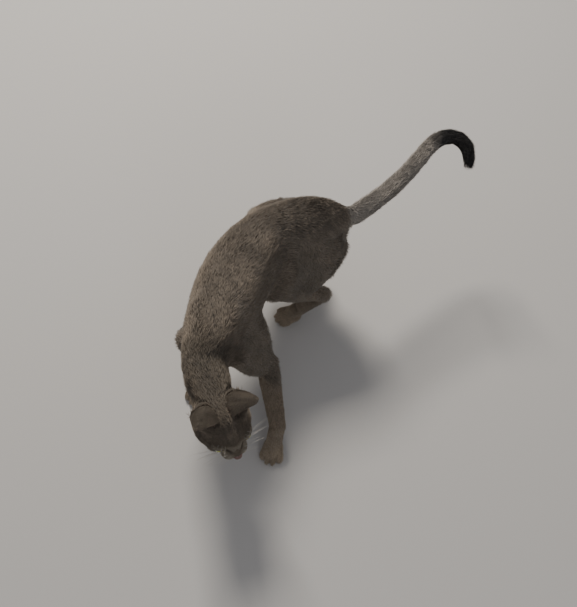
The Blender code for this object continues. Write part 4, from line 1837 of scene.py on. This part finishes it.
@dataclass(frozen=True)
class Whiskers:
    """Stiff hairs of the whisker pads and brows, swept from a profile along curved lines."""

    head: Head
    skin: bpy.types.Object
    root_radius: float = 0.26 * MM
    tip_share: float = 0.14
    sides: int = 5
    steps: int = 9
    rows: tuple[tuple[float, int], ...] = ((-12.5, 3), (-15.0, 4), (-17.6, 4), (-20.0, 3))
    brow_hairs: int = 3

    def _lines(self) -> list[WhiskerLine]:
        """Lays out the whiskers.

        Returns:
            Those of the pads in their rows, and those of the brows.
        """
        lines = []
        for side in (LEFT, RIGHT):
            for row, (height, count) in enumerate(self.rows):
                for k in range(count):
                    root = np.array((51 - 4.2 * k, side * (8.0 + 2.6 * k), height + 0.5 * k)) * MM
                    way = np.array((0.12 - 0.16 * k, side * (1.0 + 0.05 * k), 0.20 - 0.17 * row))
                    lines.append(WhiskerLine(root, unit(way), (24 + 7.5 * k) * MM, 0.16 + 0.03 * row))
            for k in range(self.brow_hairs):
                root = np.array((34 - 2.5 * k, side * (13 + 3.2 * k), 15.5 - 0.6 * k)) * MM
                way = np.array((0.45, side * (0.45 + 0.1 * k), 0.9))
                lines.append(WhiskerLine(root, unit(way), (22 - 2 * k) * MM, 0.2))
        return lines

    @staticmethod
    def _tree(material: bpy.types.Material) -> bpy.types.NodeTree:
        """Makes a node tree that sweeps a tapering round profile along every line.

        Args:
            material: The whiskers' finish.

        Returns:
            The tree, with the lines, the root's radius and the profile's sides as inputs.
        """
        tree = bpy.data.node_groups.new("whisker sweep", "GeometryNodeTree")
        for name, kind, way in (
            ("Lines", "NodeSocketGeometry", "INPUT"),
            ("Root radius", "NodeSocketFloat", "INPUT"),
            ("Sides", "NodeSocketInt", "INPUT"),
            ("Whiskers", "NodeSocketGeometry", "OUTPUT"),
        ):
            tree.interface.new_socket(name=name, in_out=way, socket_type=kind)
        kinds = {
            "in": "NodeGroupInput",
            "curve": "GeometryNodeMeshToCurve",
            "taper": "GeometryNodeInputNamedAttribute",
            "profile": "GeometryNodeCurvePrimitiveCircle",
            "size": "ShaderNodeMath",
            "sweep": "GeometryNodeCurveToMesh",
            "real": "GeometryNodeRealizeInstances",
            "paint": "GeometryNodeSetMaterial",
            "out": "NodeGroupOutput",
        }
        made = {key: tree.nodes.new(kind) for key, kind in kinds.items()}
        made["taper"].data_type = "FLOAT"
        made["taper"].inputs["Name"].default_value = "taper"
        made["size"].operation = "MULTIPLY"
        made["profile"].inputs["Radius"].default_value = 1.0
        made["sweep"].inputs["Fill Caps"].default_value = True
        made["paint"].inputs["Material"].default_value = material
        for source, output, target, entry in (
            ("in", "Lines", "curve", "Mesh"),
            ("in", "Root radius", "size", 0),
            ("taper", "Attribute", "size", 1),
            ("in", "Sides", "profile", "Resolution"),
            ("curve", "Curve", "sweep", "Curve"),
            ("profile", "Curve", "sweep", "Profile Curve"),
            ("size", "Value", "sweep", "Scale"),
            ("sweep", "Mesh", "real", "Geometry"),
            ("real", "Geometry", "paint", "Geometry"),
            ("paint", "Geometry", "out", "Whiskers"),
        ):
            tree.links.new(made[source].outputs[output], made[target].inputs[entry])
        return tree

    def build(self, material: bpy.types.Material) -> bpy.types.Object:
        """Makes all the whiskers as one piece.

        Args:
            material: Their finish.

        Returns:
            The whiskers.
        """
        surface = BVHTree.FromObject(self.skin, bpy.context.evaluated_depsgraph_get())
        points, taper, edges = [], [], []
        for line in self._lines():
            start = np.array(surface.find_nearest(Vector(self.head.outward(line.root[None])[0]))[0])
            for k in range(self.steps):
                share = k / (self.steps - 1)
                points.append(line.point(self.head, start, share))
                taper.append(1 - (1 - self.tip_share) * share)
                if k:
                    edges.append((len(points) - 2, len(points) - 1))
        mesh = bpy.data.meshes.new("whisker lines")
        mesh.from_pydata(points, edges, [])
        write_attribute(mesh, "taper", np.array(taper))
        obj = mesh_object("whiskers", mesh)
        sweep = obj.modifiers.new("sweep", "NODES")
        sweep.node_group = self._tree(material)
        sockets = sweep.node_group.interface.items_tree
        inputs = {item.name: item.identifier for item in sockets if item.in_out == "INPUT"}
        sweep[inputs["Root radius"]] = self.root_radius
        sweep[inputs["Sides"]] = self.sides
        evaluated(obj)
        obj.data.shade_smooth()
        return obj


# ---------------------------------------------------------------- the studio


@dataclass(frozen=True)
class Lamp:
    """A square soft light aimed at the cat."""

    name: str
    place: Place
    size: float
    power: float
    colour: Colour

    def build(self) -> None:
        """Adds the light."""
        data = bpy.data.lights.new(self.name, "AREA")
        data.size, data.energy, data.color = self.size, self.power, self.colour
        obj = bpy.data.objects.new(self.name, data)
        bpy.context.scene.collection.objects.link(obj)
        obj.location = self.place
        obj.rotation_euler = (Vector((0, 0, 0.1)) - Vector(self.place)).to_track_quat("-Z", "Y").to_euler()


@dataclass(frozen=True)
class Studio:
    """A plain pale floor, soft light and the camera."""

    azimuth: float = math.radians(36)
    elevation: float = math.radians(60)
    distance: float = 1.49
    lens: float = 58.8
    aim: Place = (7.4 * MM, -31.2 * MM, 100 * MM)
    floor_half: float = 15.0
    sky: Colour = (0.95, 0.95, 1.0)
    sky_strength: float = 0.27
    lamps: tuple[Lamp, ...] = (
        Lamp("key", (-1.40, 1.06, 2.0), 0.7, 61, (1.0, 0.94, 0.86)),
        Lamp("fill", (2.1, -1.9, 1.25), 1.0, 10, (0.94, 0.96, 1.0)),
    )

    def build(self) -> None:
        """Makes the floor, the lights, the sky and the camera."""
        bm = bmesh.new()
        bmesh.ops.create_grid(bm, x_segments=1, y_segments=1, size=self.floor_half)
        mesh = bpy.data.meshes.new("floor")
        bm.to_mesh(mesh)
        bm.free()
        mesh_object("floor", mesh, FloorFinish().material())
        for lamp in self.lamps:
            lamp.build()
        world = bpy.data.worlds.new("room")
        world.use_nodes = True
        back = world.node_tree.nodes["Background"]
        back.inputs["Color"].default_value = (*self.sky, 1)
        back.inputs["Strength"].default_value = self.sky_strength
        bpy.context.scene.world = world
        self._camera()

    def _camera(self) -> None:
        """Adds the camera, looking down on the cat from its left front."""
        level, rise = math.cos(self.elevation), math.sin(self.elevation)
        back = Vector((math.sin(self.azimuth) * level, -math.cos(self.azimuth) * level, rise))
        data = bpy.data.cameras.new("camera")
        data.lens = self.lens
        data.clip_start = 0.01
        camera = bpy.data.objects.new("camera", data)
        bpy.context.scene.collection.objects.link(camera)
        camera.location = Vector(self.aim) + back * self.distance
        camera.rotation_euler = (-back).to_track_quat("-Z", "Y").to_euler()
        bpy.context.scene.camera = camera


def main() -> None:
    """Builds every piece in order."""
    logging.basicConfig(level=logging.INFO, format="%(message)s")
    for obj in list(bpy.data.objects):
        bpy.data.objects.remove(obj)
    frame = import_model()
    body = Body(frame["nodes"])
    markings = Markings()

    skin = Skin(body)
    skin_object = skin.build(SkinFinish().material())
    skin.dress(skin_object, markings)
    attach(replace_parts(skin_object, *body.flesh()), ROOT)
    log.info("skin: %d faces", len(skin_object.data.polygons))

    for piece in Coat(body).build(skin, skin_object, TuftFinish().material(), markings):
        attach(piece, ROOT)
    eye_finish = EyeFinish().material()
    for side in (LEFT, RIGHT):
        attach(Eye(body.head, side).build(eye_finish), ROOT)
    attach(NoseLeather(body.head).build(LeatherFinish().material()), ROOT)
    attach(Whiskers(body.head, skin_object).build(WhiskerFinish().material()), ROOT)
    log.info("eyes, nose leather and whiskers")

    Studio().build()


if __name__ == "__main__":
    main()
